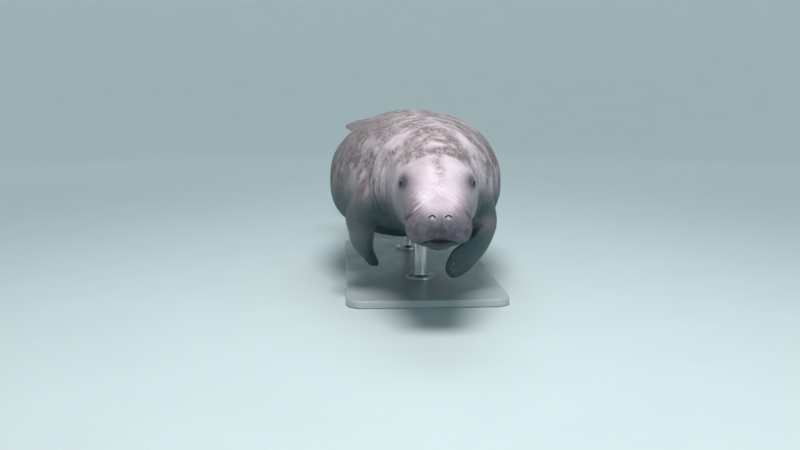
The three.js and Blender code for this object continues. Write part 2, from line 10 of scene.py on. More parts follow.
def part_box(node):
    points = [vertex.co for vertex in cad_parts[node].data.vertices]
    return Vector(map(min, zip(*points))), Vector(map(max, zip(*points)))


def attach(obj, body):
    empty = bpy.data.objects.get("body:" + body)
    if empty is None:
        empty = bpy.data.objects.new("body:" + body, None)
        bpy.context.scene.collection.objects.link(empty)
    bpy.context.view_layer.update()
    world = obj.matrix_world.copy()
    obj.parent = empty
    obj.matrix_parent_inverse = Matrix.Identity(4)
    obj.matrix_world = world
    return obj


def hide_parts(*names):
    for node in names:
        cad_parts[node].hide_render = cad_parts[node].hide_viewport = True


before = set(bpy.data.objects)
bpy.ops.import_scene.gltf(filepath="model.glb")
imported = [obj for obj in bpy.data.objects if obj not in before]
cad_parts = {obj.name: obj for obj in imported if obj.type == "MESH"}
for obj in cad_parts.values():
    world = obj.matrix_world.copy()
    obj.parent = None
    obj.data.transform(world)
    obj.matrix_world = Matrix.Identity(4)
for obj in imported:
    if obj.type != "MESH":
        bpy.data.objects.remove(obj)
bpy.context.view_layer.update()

# The manatee's look: one skin over the solids, with eyes, nails, bristles and hairs of its own,
# and the finish of its stand, under plain soft light.
# The shape is worked out in millimetres from the point midway between the eyes, as the solids are.

MM = 0.001
EYES_OVER_BASE = 470
FRONT_ROD_BEHIND_EYES = 720
rod_low, rod_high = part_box("stand_rod_front")
ORIGIN = np.array([
    0.0,
    (rod_low.y + rod_high.y) / 2 - FRONT_ROD_BEHIND_EYES * MM,
    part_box("stand_base")[1].z + EYES_OVER_BASE * MM,
])


def to_frame(points):
    return ORIGIN + np.asarray(points, float) * MM


def from_frame(point):
    return (np.array(point, float) - ORIGIN) / MM


# Driving sizes
TAIL_TIP = 2650
EYE_RADIUS = 12
HEAD_TURN = math.radians(2)
NECK_BEND_FROM = 400
PADDLE_ROUND_FROM = 2330
PADDLE_END_POWER = 2.2
PADDLE_THIN = (2000, 2300)
AXIS_START = -70
BELLY_SAG = 0.06
BACK_ROUNDNESS = 2.05
BELLY_ROUNDNESS = 2.5
PADDLE_EDGE = 1.5

# The trunk: distance behind the eyes, half width, top line, bottom line
TRUNK = [
    (-80, 44, -80, -140),
    (-20, 98, 0, -168),
    (40, 133, 66, -178),
    (120, 149, 106, -184),
    (220, 168, 138, -198),
    (400, 222, 180, -226),
    (560, 276, 200, -254),
    (760, 334, 212, -300),
    (1000, 374, 218, -330),
    (1220, 368, 213, -332),
    (1450, 312, 194, -292),
    (1700, 222, 164, -198),
    (1880, 166, 142, -122),
    (2000, 152, 130, -68),
    (2120, 186, 124, -18),
    (2260, 262, 118, 22),
    (2400, 306, 120, 58),
    (2520, 318, 130, 86),
    (TAIL_TIP, 320, 146, 124),
]

# The head's masses: centre, radii, pitch in degrees, and whether there is one on each side
SKULL_BLEND = 15
CHIN_BLEND = 7.5
JAW_BLEND = 6
UPPER_MASSES = [
    ((0, 36, -44), (96, 86, 74), -30, False),  # forehead
    ((79, 28, -6), (42, 66, 46), -10, True),  # temple
    ((0, -46, -82), (74, 76, 48), -44, False),  # bridge
    ((0, -104, -112), (54, 38, 36), -30, False),  # nose
    ((60, 0, -84), (42, 90, 68), 0, True),  # cheek
    ((54, -58, -124), (42, 66, 48), 0, True),  # muzzle side
    ((54, -92, -146), (44, 43, 42), 8, True),  # lip lobe
]
JAW_MASSES = [
    ((0, -66, -178), (50, 42, 34), 0, False),  # chin
    ((0, -16, -148), (74, 80, 42), 4, False),  # jaw
]

# The mouth's arch: distance behind the eyes, half width, top, squareness
MOUTH_ARCH = [
    (-190, 58, -178, 0.6),
    (-116, 60, -178, 0.6),
    (-98, 68, -176, 0.5),
    (-78, 88, -171, 0.4),
    (-60, 116, -164, 0.25),
    (-24, 124, -153, 0.2),
    (-8, 124, -154, 0.2),
]
MOUTH_FLOOR = -192
MOUTH_CROWN = 0.8
MOUTH_CORNER = (-30, -14)
LIP_ROUND = (5, 8)  # depth, width
LIP_LINE = (15, 3.2)

EYE_FACING = (0.8, -0.58, 0.12)
SOCKET = (6, 22, 118)  # depth, width, distance to the side
BROW = (5, (104, -6, 36), 24)  # rise, place, width
NOSTRIL = (26, -95)
NOSTRIL_FACING = (0.06, -0.86, 0.5)
NOSE_VALVE = (3.4, 8, 7)  # rise, width, distance below the nostril's middle
PHILTRUM = (3, 5, -82, -150, 8)  # depth, width, top, bottom, fade
FACE_BACK = 80
NOSE_BACK = -60


def smoothstep(x, low, high):
    t = np.clip((np.asarray(x, float) - low) / (high - low), 0, 1)
    return t * t * (3 - 2 * t)


def bell(x, width):
    return np.exp(-((x / width) ** 2))


def falling(x, low, high):
    return 1 - smoothstep(x, low, high)


def between(x, low, high, low_again, high_again):
    """Rises from 0 to 1 over the first two numbers and falls again over the last two."""
    return smoothstep(x, low, high) * falling(x, low_again, high_again)


def spot(u, v, at, size):
    """A soft round or oval spot in the plane of u and v."""
    return bell((u - at[0]) / size[0], 1) * bell((v - at[1]) / size[1], 1)


def power(x, n):
    return np.sign(x) * np.abs(x) ** n


def unit(v):
    v = np.asarray(v, float)
    return v / np.maximum(np.linalg.norm(v, axis=-1, keepdims=True), 1e-12)


def curve(stations, column):
    """A smooth line through stations, where each takes its slope from its neighbours."""
    ys = np.array([s[0] for s in stations], float)
    values = np.array([s[column] for s in stations], float)
    last = len(ys) - 1
    before = np.maximum(np.arange(last + 1) - 1, 0)
    after = np.minimum(np.arange(last + 1) + 1, last)
    slopes = (values[after] - values[before]) / (ys[after] - ys[before])

    def at(y):
        y = np.clip(np.asarray(y, float), ys[0], ys[-1])
        i = np.clip(np.searchsorted(ys, y, side="right") - 1, 0, last - 1)
        width = ys[i + 1] - ys[i]
        t = (y - ys[i]) / width
        t2 = t * t
        t3 = t2 * t
        return (
            (2 * t3 - 3 * t2 + 1) * values[i]
            + (t3 - 2 * t2 + t) * width * slopes[i]
            + (-2 * t3 + 3 * t2) * values[i + 1]
            + (t3 - t2) * width * slopes[i + 1]
        )

    return at


half_at, top_at, bottom_at = (curve(TRUNK, k) for k in (1, 2, 3))
arch_half, arch_top, arch_square = (curve(MOUTH_ARCH, k) for k in (1, 2, 3))


def level_at(y):
    top, bottom = top_at(y), bottom_at(y)
    return (top + bottom) / 2 - BELLY_SAG * (top - bottom)


def axis_points(y):
    y = np.asarray(y, float)
    bend = math.tan(HEAD_TURN) / (2 * NECK_BEND_FROM)
    behind = np.where(y < NECK_BEND_FROM, -bend * (NECK_BEND_FROM - y) ** 2, 0.0)
    ahead = -bend * NECK_BEND_FROM**2 + y * math.tan(HEAD_TURN)
    return np.stack([np.where(y < 0, ahead, behind), y, level_at(y)], -1)


HEAD_ORIGIN = axis_points(0.0) * np.array([1, 1, 0])


def turned(q, angle):
    c, s = math.cos(angle), math.sin(angle)
    x, y = q[..., 0] * c - q[..., 1] * s, q[..., 0] * s + q[..., 1] * c
    return np.stack([x, y, q[..., 2]], -1)


def in_head(p):
    return turned(np.asarray(p, float) - HEAD_ORIGIN, HEAD_TURN)


def from_head(q):
    return turned(np.asarray(q, float), -HEAD_TURN) + HEAD_ORIGIN


def mass_distance(mass, side, q):
    (ax, ay, az), (rx, ry, rz), pitch, _ = mass
    c, s = math.cos(math.radians(pitch)), math.sin(math.radians(pitch))
    x = q[:, 0] - side * ax
    dy = q[:, 1] - ay
    dz = q[:, 2] - az
    y = dy * c - dz * s
    z = dy * s + dz * c
    near = np.sqrt((x / rx) ** 2 + (y / ry) ** 2 + (z / rz) ** 2)
    steep = np.sqrt((x / rx**2) ** 2 + (y / ry**2) ** 2 + (z / rz**2) ** 2)
    return np.where(steep > 0, near * (near - 1) / np.maximum(steep, 1e-12), -min(rx, ry, rz))


def blended(distances, blend):
    least = np.min(distances, axis=0)
    return least - blend * np.log(np.sum(np.exp((least - distances) / blend), axis=0))


def masses_distance(masses, q, blend):
    every = []
    for mass in masses:
        every.append(mass_distance(mass, 1, q))
        if mass[3]:
            every.append(mass_distance(mass, -1, q))
    return blended(np.array(every), blend)


def head_distance(p):
    q = in_head(p)
    upper = masses_distance(UPPER_MASSES, q, SKULL_BLEND)
    jaw = masses_distance(JAW_MASSES, q, CHIN_BLEND)
    return blended(np.array([upper, jaw]), JAW_BLEND)


def mouth_distance(q):
    half, top, square = arch_half(q[:, 1]), arch_top(q[:, 1]), arch_square(q[:, 1])
    x, z = np.abs(q[:, 0]), q[:, 2]
    rise = np.clip((z - MOUTH_FLOOR) / (top - MOUTH_FLOOR), 0, 1)
    sideways = x - half * np.sqrt(np.maximum(0, 1 - rise ** (2 / MOUTH_CROWN))) ** square
    run = np.clip(x / half, 0, 1) ** (1 / square)
    arch = np.sqrt(np.maximum(0, 1 - run**2)) ** MOUTH_CROWN
    above = z - (MOUTH_FLOOR + (top - MOUTH_FLOOR) * arch)
    both = sideways * above / np.maximum(1e-3, np.hypot(sideways, above))
    return np.where(z > top, above, np.where(z < MOUTH_FLOOR, sideways, both))


def lips_run(q):
    return falling(q[:, 1], *MOUTH_CORNER)


def detail_rise(p):
    """The socket, brow, lips, nose valves and philtrum, as the solids have them."""
    q = in_head(p)
    x, y, z = np.abs(q[:, 0]), q[:, 1], q[:, 2]
    depth, width, aside = SOCKET
    rise = -depth * bell(np.sqrt((x - aside) ** 2 + y**2 + z**2), width)
    up, (bx, by, bz), width = BROW
    rise += up * bell(np.sqrt((x - bx) ** 2 + (y - by) ** 2 + (z - bz) ** 2), width)
    rise -= LIP_ROUND[0] * bell(mouth_distance(q), LIP_ROUND[1]) * lips_run(q)
    up, width, below = NOSE_VALVE
    nose = up * bell(np.hypot(x - NOSTRIL[0], z - NOSTRIL[1] + below), width)
    depth, width, top, bottom, fade = PHILTRUM
    run = between(z, bottom - fade, bottom + fade, top - fade, top + fade)
    nose -= depth * bell(x, width) * run
    rise = np.where(y > NOSE_BACK, rise, rise + nose)
    return np.where(y > FACE_BACK, 0.0, rise)


HEAD_REACH = 420
TRACE_STEPS = 40
TRACE_SHARE = 0.9
TRACE_CLOSE = 0.05


def head_reach(start, direction):
    reach = np.full(len(start), float(HEAD_REACH))
    active = np.arange(len(start))
    for _ in range(TRACE_STEPS):
        d = head_distance(start[active] + direction[active] * reach[active, None])
        keep = d >= TRACE_CLOSE
        active, d = active[keep], d[keep]
        reach[active] -= np.maximum(d * TRACE_SHARE, TRACE_CLOSE)
        active = active[reach[active] > 0]
        if not len(active):
            break
    return np.maximum(reach, 0)


def smooth_max(a, b, blend):
    share = np.clip(0.5 + (a - b) / (2 * blend), 0, 1)
    return b + (a - b) * share + blend * share * (1 - share)


def section_frames(y):
    centre = axis_points(y)
    back = unit(axis_points(y + 5.0) - axis_points(y - 5.0))
    side = unit(np.cross(back, np.array([0.0, 0.0, 1.0])))
    return centre, back, side, np.cross(side, back)


def trunk_offset(y, angle):
    top, bottom = top_at(y), bottom_at(y)
    level = level_at(y)
    rounding = np.clip((y - PADDLE_ROUND_FROM) / (TAIL_TIP - PADDLE_ROUND_FROM), 0, 1)
    outline = np.sqrt(np.maximum(0, 1 - rounding**PADDLE_END_POWER))
    half = half_at(y) * outline
    thin = smoothstep(y, *PADDLE_THIN)
    upper = np.sin(angle) >= 0
    roundness = np.where(upper, BACK_ROUNDNESS, BELLY_ROUNDNESS)
    roundness = roundness + (2 - roundness) * thin
    height = np.where(upper, top - level, level - bottom) * (1 - thin + thin * outline)
    edge = 1 + thin * (PADDLE_EDGE - 1)
    across = half * power(np.cos(angle), 2 / roundness)
    return across, height * power(np.sin(angle), 2 / roundness * edge)


HEAD_BLEND = 46
HEAD_ENDS = 560
FRONT_POWER = 6


def skin_points(y, angle, lift):
    """Points of the bare skin: y along the axis, angle round it, and lift off its front end."""
    centre, back, side, up = section_frames(y)
    across, rise = trunk_offset(y, angle)
    spread = side * across[:, None] + up * rise[:, None]
    reach = np.linalg.norm(spread, axis=1) * np.sin(lift) ** FRONT_POWER
    direction = unit(unit(spread) * np.sin(lift)[:, None] - back * np.cos(lift)[:, None])
    near = np.nonzero(y < HEAD_ENDS)[0]
    head = head_reach(centre[near], direction[near])
    reach[near] = np.where(head > 0, smooth_max(head, reach[near], HEAD_BLEND), reach[near])
    reach[near] += detail_rise(centre[near] + direction[near] * reach[near, None])
    return centre + direction * reach[:, None]


# Seeded noise
NOISE_SIZE = 1024
NOISE_SEED = 31
NOISE_SCALE = 1.7
NOISE_SHIFT = 17.3  # between one seed's field and the next
draw = np.random.default_rng(NOISE_SEED)
NOISE_ORDER = draw.permutation(NOISE_SIZE)
NOISE_SLOPES = unit(draw.normal(size=(NOISE_SIZE, 3)))


def noise(p, cell, seed=0):
    """Smooth noise of about -1 to 1 at points p. The cell's size is one number or three."""
    q = np.asarray(p, float) / np.asarray(cell, float) + NOISE_SHIFT * (seed + 1)
    low = np.floor(q).astype(np.int64)
    f = q - low
    fade = f**3 * (f * (f * 6 - 15) + 10)
    total = np.zeros(len(q))
    for corner in np.ndindex(2, 2, 2):
        at = (low + corner) % NOISE_SIZE
        first = NOISE_ORDER[at[:, 0]]
        second = NOISE_ORDER[(first + at[:, 1]) % NOISE_SIZE]
        slope = NOISE_SLOPES[NOISE_ORDER[(second + at[:, 2]) % NOISE_SIZE]]
        weight = np.prod(np.where(corner, fade, 1 - fade), axis=1)
        total += weight * np.einsum("ij,ij->i", slope, f - corner)
    return total * NOISE_SCALE


# The eyes' middles and the ways they face, and the side each is on
EYES = {}
for name, side in (("left", 1), ("right", -1)):
    low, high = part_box("eye_" + name)
    facing = unit(turned(np.array(EYE_FACING) * (side, 1, 1), -HEAD_TURN))
    EYES[name] = (from_frame(((low + high) / 2)[:]), facing, side)

# The skin's grid. Along it, s is the distance from the axis's front end, and is below 0 on the
# muzzle's front, which is called the cap.
CAP = 130
CAP_STARTS = 1.1  # from the cap's middle to its first ring
CAP_SPACING = 2.1
CAP_SIDES = ((26, 144), (13, 72), (6.5, 36), (3, 18))  # distance from its middle, sides within
FINE_SIDES = 288
BODY_SIDES = 144
FACE_GRID_BACK = 40
HEAD_GRID_BACK = 150
CHEST_GRID_BACK = 900
PADDLE_FROM = 2000
PADDLE_RINGS = 56
PADDLE_SHARE = 0.9995
SPACINGS = (2.4, 3.6, 5.2, 9.5)  # of the rings on the face, head, chest and belly
SEAM = -math.pi / 2
SEAM_CLEAR = 0.12  # this near the seam, in radians, the grid isn't made finer
FINER = ((36, 20, 9), (25, 15, 4.5))  # how near an eye, a nostril and the lips, for each halving
FINER_CHIN = 40
FAR = 1e4


def ring_plan():
    rings = [(-CAP, CAP_SIDES[-1][1])]
    for s in np.arange(-CAP + CAP_STARTS, -0.6, CAP_SPACING):
        sides = FINE_SIDES
        for near, fewer in CAP_SIDES:
            if s + CAP < near:
                sides = fewer
        rings.append((s, sides))
    face, head, chest, belly = SPACINGS
    fine = [
        np.arange(AXIS_START, FACE_GRID_BACK, face),
        np.arange(FACE_GRID_BACK, HEAD_GRID_BACK, head),
    ]
    turn = np.linspace(0, math.pi / 2, PADDLE_RINGS)
    coarse = [
        np.arange(HEAD_GRID_BACK, CHEST_GRID_BACK, chest),
        np.arange(CHEST_GRID_BACK, PADDLE_FROM, belly),
        PADDLE_FROM + (TAIL_TIP - PADDLE_FROM) * PADDLE_SHARE * np.sin(turn),
    ]
    for stations, sides in ((fine, FINE_SIDES), (coarse, BODY_SIDES)):
        rings += [(y - AXIS_START, sides) for y in np.concatenate(stations)]
    return rings


def strip(a, sides_a, b, sides_b):
    """Faces between two rings of the grid, where one may have twice the sides of the other."""
    faces = []
    if sides_a == sides_b:
        return [(a + i, b + i, b + i + 1, a + i + 1) for i in range(sides_a)]
    if sides_b == 2 * sides_a:
        for i in range(sides_a):
            faces.append((a + i, b + 2 * i, b + 2 * i + 1))
            faces.append((a + i, b + 2 * i + 1, a + i + 1))
            faces.append((a + i + 1, b + 2 * i + 1, b + 2 * i + 2))
        return faces
    for i in range(sides_b):
        faces.append((a + 2 * i, b + i, a + 2 * i + 1))
        faces.append((a + 2 * i + 1, b + i, b + i + 1))
        faces.append((a + 2 * i + 1, b + i + 1, a + 2 * i + 2))
    return faces


def grid_points(s, angle):
    lift = math.pi / 2 * np.clip(1 + s / CAP, 0, 1)
    return skin_points(AXIS_START + np.maximum(s, 0), angle, lift)


def finer_places(plan, reach_eye, reach_nose, reach_lips):
    """Which points of the grid lie close to an eye, a nostril or the lips."""
    near = plan[:, 0] < HEAD_GRID_BACK - AXIS_START - 20
    p = np.full((len(plan), 3), FAR)
    p[near] = grid_points(plan[near, 0], plan[near, 1])
    chosen = np.zeros(len(plan), bool)
    for eye, _, _ in EYES.values():
        chosen |= np.linalg.norm(p - eye, axis=1) < reach_eye
    q = in_head(p)
    nose = np.hypot(np.abs(q[:, 0]) - NOSTRIL[0], q[:, 2] - NOSTRIL[1])
    chosen |= near & (nose < reach_nose) & (q[:, 1] < NOSE_BACK)
    lips = np.abs(mouth_distance(q)) < reach_lips
    chosen |= near & lips & (q[:, 1] < MOUTH_CORNER[1]) & (q[:, 2] > MOUTH_FLOOR - FINER_CHIN)
    # The two sides of the seam are kept alike.
    start, end = SEAM + SEAM_CLEAR, SEAM + 2 * math.pi - SEAM_CLEAR
    return chosen & (plan[:, 1] > start) & (plan[:, 1] < end)


def trunk_mesh():
    rings = ring_plan()
    faces, starts, count = [], [], 0
    bm = bmesh.new()
    verts = []
    for s, sides in rings:
        starts.append(count)
        count += sides + 1
        verts += [bm.verts.new((s, SEAM + 2 * math.pi * i / sides, 0)) for i in range(sides + 1)]
    for k in range(len(rings) - 1):
        faces += strip(starts[k], rings[k][1], starts[k + 1], rings[k + 1][1])
    for f in faces:
        bm.faces.new([verts[i] for i in f])
    for reaches in FINER:
        bm.verts.index_update()
        chosen = finer_places(np.array([v.co[:2] for v in bm.verts]), *reaches)
        edges = [e for e in bm.edges if chosen[e.verts[0].index] and chosen[e.verts[1].index]]
        bmesh.ops.subdivide_edges(bm, edges=edges, cuts=1, use_grid_fill=True)
    plan = np.array([v.co[:2] for v in bm.verts])
    for v, co in zip(bm.verts, grid_points(plan[:, 0], plan[:, 1])):
        v.co = co
    s, angle = plan.T
    tiny = 1e-6
    on_seam = (angle < SEAM + tiny) | (angle > SEAM + 2 * math.pi - tiny) | (s < -CAP + tiny)
    seam = [v for v, at in zip(bm.verts, on_seam) if at]
    bmesh.ops.remove_doubles(bm, verts=seam, dist=1e-3)
    rim = [e for e in bm.edges if e.is_boundary]
    rim_points = {v for e in rim for v in e.verts}
    middle = bm.verts.new(sum((v.co for v in rim_points), Vector()) / len(rim))
    for e in rim:
        a, b = e.verts
        first, second = (b, a) if e.link_loops[0].vert == a else (a, b)
        bm.faces.new((first, second, middle))
    return bm


# The flippers: middle line, and the way from the rear edge to the front edge at each of its points
FLIPPERS = {
    "left": (
        1,
        [(120, 480, -60), (212, 474, -190), (196, 432, -272), (144, 378, -318), (94, 332, -338),
         (58, 296, -348)],
        [(0, -1, 0), (0.1, -1, -0.05), (-0.2, -0.92, 0.3), (-0.4, -0.65, 0.55), (-0.42, -0.6, 0.6),
         (-0.42, -0.6, 0.6)],
    ),
    "right": (
        -1,
        [(-130, 430, -60), (-248, 450, -160), (-250, 500, -250), (-241, 560, -313),
         (-221, 610, -358), (-201, 648, -394)],
        [(0, -1, 0), (0.1, -1, -0.3), (0.35, -0.85, -0.3), (0.46, -0.78, -0.15),
         (0.43, -0.82, -0.1), (0.4, -0.85, -0.1)],
    ),
}
# Share of the length from the root, half the breadth and half the thickness there
FLIPPER_OUTLINE = [
    (0, 92, 76),
    (0.2, 84, 62),
    (0.4, 76, 42),
    (0.6, 71, 26),
    (0.8, 64, 17),
    (1, 50, 9),
]
FLIPPER_TIP_FROM = 0.66
FLIPPER_TIP = (2.1, 0.4, 8)  # the tip's roundness, and the least and fastest thinning to it
FLIPPER_EDGE = 0.25
FLIPPER_END = 0.999
FLIPPER_SPACING = 1.2
FLIPPER_RINGS = 62
FLIPPER_SIDES = 64
LIMB_STATIONS = 41
flipper_half, flipper_thick = (curve(FLIPPER_OUTLINE, k) for k in (1, 2))
NAILS = ((0.9, 0.93, 0.9), (-0.34, 0.02, 0.38))  # share of the length, and of the half breadth
NAIL_SIZE = (6.5, 9, 3.2)  # across, along, thick


def spline_point(points, t):
    """A centripetal spline through points, at t from 0 to 1."""
    points = np.asarray(points, float)
    spans = len(points) - 1
    place = spans * t
    i = min(int(place), spans - 1)
    w = place - i
    p1, p2 = points[i], points[i + 1]
    p0 = points[i - 1] if i > 0 else 2 * points[0] - points[1]
    p3 = points[i + 2] if i + 2 <= spans else 2 * points[-1] - points[-2]
    d0, d1, d2 = (np.linalg.norm(b - a) ** 0.5 for a, b in ((p0, p1), (p1, p2), (p2, p3)))
    d1 = d1 if d1 > 1e-4 else 1.0
    d0 = d0 if d0 > 1e-4 else d1
    d2 = d2 if d2 > 1e-4 else d1
    m1 = ((p1 - p0) / d0 - (p2 - p0) / (d0 + d1) + (p2 - p1) / d1) * d1
    m2 = ((p2 - p1) / d1 - (p3 - p1) / (d1 + d2) + (p3 - p2) / d2) * d1
    c2 = -3 * p1 + 3 * p2 - 2 * m1 - m2
    c3 = 2 * p1 - 2 * p2 + m1 + m2
    return p1 + m1 * w + c2 * w * w + c3 * w**3


def limb_frame(limb, u):
    """A flipper's middle at the share u of its length, the ways from there, and its half sizes."""
    side, middle, chords = limb
    centre = spline_point(middle, u)
    along = unit(spline_point(middle, min(1, u + 1e-4)) - spline_point(middle, max(0, u - 1e-4)))
    chord = spline_point(chords, u)
    chord = unit(chord - along * (chord @ along))
    face = np.cross(chord, along) * side
    end = min(1, max(0, (u - FLIPPER_TIP_FROM) / (1 - FLIPPER_TIP_FROM)))
    outline = math.sqrt(1 - end ** FLIPPER_TIP[0])
    half = float(flipper_half(u)) * outline
    thick = float(flipper_thick(u)) * min(1, FLIPPER_TIP[1] + outline, FLIPPER_TIP[2] * outline)
    return centre, along, chord, face, half, thick


def limb_places(p):
    """Each point's nearest flipper, how far along that it lies, and how far off its middle line."""
    along, which = np.zeros(len(p)), np.zeros(len(p), int)
    nearest = np.full(len(p), FAR)
    for k, limb in enumerate(FLIPPERS.values()):
        for u in np.linspace(0, 1, LIMB_STATIONS):
            d = np.linalg.norm(p - limb_frame(limb, min(u, FLIPPER_END))[0], axis=1)
            closer = d < nearest
            nearest[closer], along[closer], which[closer] = d[closer], u, k
    return which, along, nearest


def tube_faces(rings, sides, start=0):
    """Four-sided faces between rings of points that follow one another."""
    return [
        (a + i, a + (i + 1) % sides, a + (i + 1) % sides + sides, a + i + sides)
        for a in range(start, start + (rings - 1) * sides, sides)
        for i in range(sides)
    ]


def flipper_mesh(limb):
    rings, sides = FLIPPER_RINGS, FLIPPER_SIDES
    angle = 2 * math.pi * np.arange(sides) / sides
    points, faces = [], []
    for turn in np.linspace(0, math.pi / 2, rings):
        u = FLIPPER_END * math.sin(turn) ** FLIPPER_SPACING
        centre, _, chord, face, half, thick = limb_frame(limb, u)
        lift = thick * power(np.sin(angle), 1 + FLIPPER_EDGE * u)
        points.append(centre + np.outer(half * np.cos(angle), chord) + np.outer(lift, face))
    points = np.concatenate(points + [points[0].mean(0)[None], points[-1].mean(0)[None]])
    for i in range(sides):
        j = (i + 1) % sides
        for r in range(rings - 1):
            a, b = r * sides, (r + 1) * sides
            faces.append((a + i, b + i, b + j, a + j))
        faces.append((len(points) - 2, i, j))
        faces.append((len(points) - 1, (rings - 1) * sides + j, (rings - 1) * sides + i))
    return points, faces


def placed(name, data):
    made = bpy.data.objects.new(name, data)
    bpy.context.scene.collection.objects.link(made)
    return made


def mesh_object(name, points, faces):
    mesh = bpy.data.meshes.new(name)
    mesh.from_pydata([tuple(p) for p in points], [], faces)
    mesh.validate()
    mesh.polygons.foreach_set("use_smooth", [True] * len(mesh.polygons))
    return placed(name, mesh)


def cleaned(made, join=0, sharp=None):
    """Joins points closer than join, turns faces outward, and marks bends over sharp as edges."""
    bm = bmesh.new()
    bm.from_mesh(made.data)
    if join:
        bmesh.ops.remove_doubles(bm, verts=bm.verts, dist=join)
    bmesh.ops.recalc_face_normals(bm, faces=bm.faces)
    if sharp:
        for e in bm.edges:
            if len(e.link_faces) == 2 and e.calc_face_angle(0) > sharp:
                e.smooth = False
    bm.to_mesh(made.data)
    bm.free()


def read(items, what, kind, width):
    values = np.zeros(len(items) * width, kind)
    items.foreach_get(what, values)
    return values.reshape(-1, width)


def read_points(mesh):
    return read(mesh.vertices, "co", float, 3)


def read_triangles(mesh):
    mesh.calc_loop_triangles()
    return read(mesh.loop_triangles, "vertices", np.int32, 3)


def surface(points, triangles):
    return BVHTree.FromPolygons([Vector(p) for p in points], triangles.tolist())


def point_normals(points, triangles):
    a, b, c = (points[triangles[:, k]] for k in range(3))
    face = np.cross(b - a, c - a)
    normals = np.zeros_like(points)
    for k in range(3):
        for axis in range(3):
            normals[:, axis] += np.bincount(triangles[:, k], face[:, axis], len(points))
    return unit(normals)


def neighbour_mean(values, edges, count):
    total = np.zeros_like(values)
    for a, b in ((0, 1), (1, 0)):
        for axis in range(values.shape[1]):
            total[:, axis] += np.bincount(edges[:, a], values[edges[:, b], axis], count)
    degree = np.bincount(edges.ravel(), minlength=count)
    return total / np.maximum(degree, 1)[:, None]


# The body with its flippers, joined with a soft web round each root
WEB = 95
WEB_PASSES = 26
WEB_PUSH = 0.8
WEB_PULL = 0.6
WEB_SOFTENED = (0.9, 0.7)  # where the softening starts, and over how much, as shares of the web
NORMAL_PASSES = 6
ROOT_AT = 0.15  # share of the flipper's length
ROOT_REACH = 330


def joined_body():
    bm = trunk_mesh()
    bm.normal_update()
    body = placed("body", bpy.data.meshes.new("body"))
    bm.to_mesh(body.data)
    bm.free()
    limbs = [mesh_object("limb_" + name, *flipper_mesh(limb)) for name, limb in FLIPPERS.items()]
    surfaces = []
    for made in (body, *limbs):
        cleaned(made)
        surfaces.append(surface(read_points(made.data), read_triangles(made.data)))
    for made in limbs:
        join = body.modifiers.new("join", "BOOLEAN")
        join.operation = "UNION"
        join.solver = "MANIFOLD"
        join.object = made
    evaluated = body.evaluated_get(bpy.context.evaluated_depsgraph_get())
    whole = bpy.data.meshes.new_from_object(evaluated)
    body.modifiers.clear()
    body.data = whole
    for made in limbs:
        bpy.data.objects.remove(made)
    points, triangles = read_points(whole), read_triangles(whole)
    edges = read(whole.edges, "vertices", np.int32, 2)
    normals = point_normals(points, triangles)
    for _ in range(NORMAL_PASSES):
        normals = unit(neighbour_mean(normals, edges, len(points)))
    closeness = np.full(len(points), FAR)
    for limb, limb_surface in zip(FLIPPERS.values(), surfaces[1:]):
        centre = limb_frame(limb, ROOT_AT)[0]
        for i in np.nonzero(np.linalg.norm(points - centre, axis=1) < ROOT_REACH)[0]:
            to_trunk = surfaces[0].find_nearest(points[i])[3]
            to_limb = limb_surface.find_nearest(points[i])[3]
            closeness[i] = min(closeness[i], max(to_trunk, to_limb))
    push = np.maximum(WEB - closeness, 0) ** 2 / (4 * WEB)
    points += normals * push[:, None] * WEB_PUSH
    start, over = WEB_SOFTENED
    weight = smoothstep(WEB * start - closeness, 0, WEB * over)[:, None]
    for _ in range(WEB_PASSES):
        points += (neighbour_mean(points, edges, len(points)) - points) * weight * WEB_PULL
    return body, points, triangles, closeness


body, points, triangles, web = joined_body()


def creases(phase, width):
    """Narrow grooves, one for each whole step of the phase."""
    return bell(np.abs(np.sin(np.pi * phase)), width)


def mix(a, b, t):
    return a + (b - a) * t


def looking(facing):
    """The ways across and up, seen from in front of something that faces that way."""
    across = unit(np.cross([0.0, 0.0, 1.0], facing))
    return across, np.cross(facing, across)


# Eyelids, in the plane across each eye: e is 1 along the lids' edge
LID_PROUD = 2.4
LID_OPENING = (10.5, 7.0)
LID_TILT = math.radians(10)
LID_REACH = (44, 34)  # round the eye, and behind it
LID_BLEND = 5.0
LID_RIM = (0.9, 1.2, 0.16)  # rise, place, width
LID_GROOVES = ((1.62, 1.5), (2.1, 1.2), (2.65, 0.9), (3.3, 0.6))  # place, depth
LID_GROOVE_WIDTH = 0.14
LID_FANS = (0.9, 9)  # depth and number of the fine folds that fan out from the corners
LID_UNDER = 2.6  # how far the skin dips under the eyeball


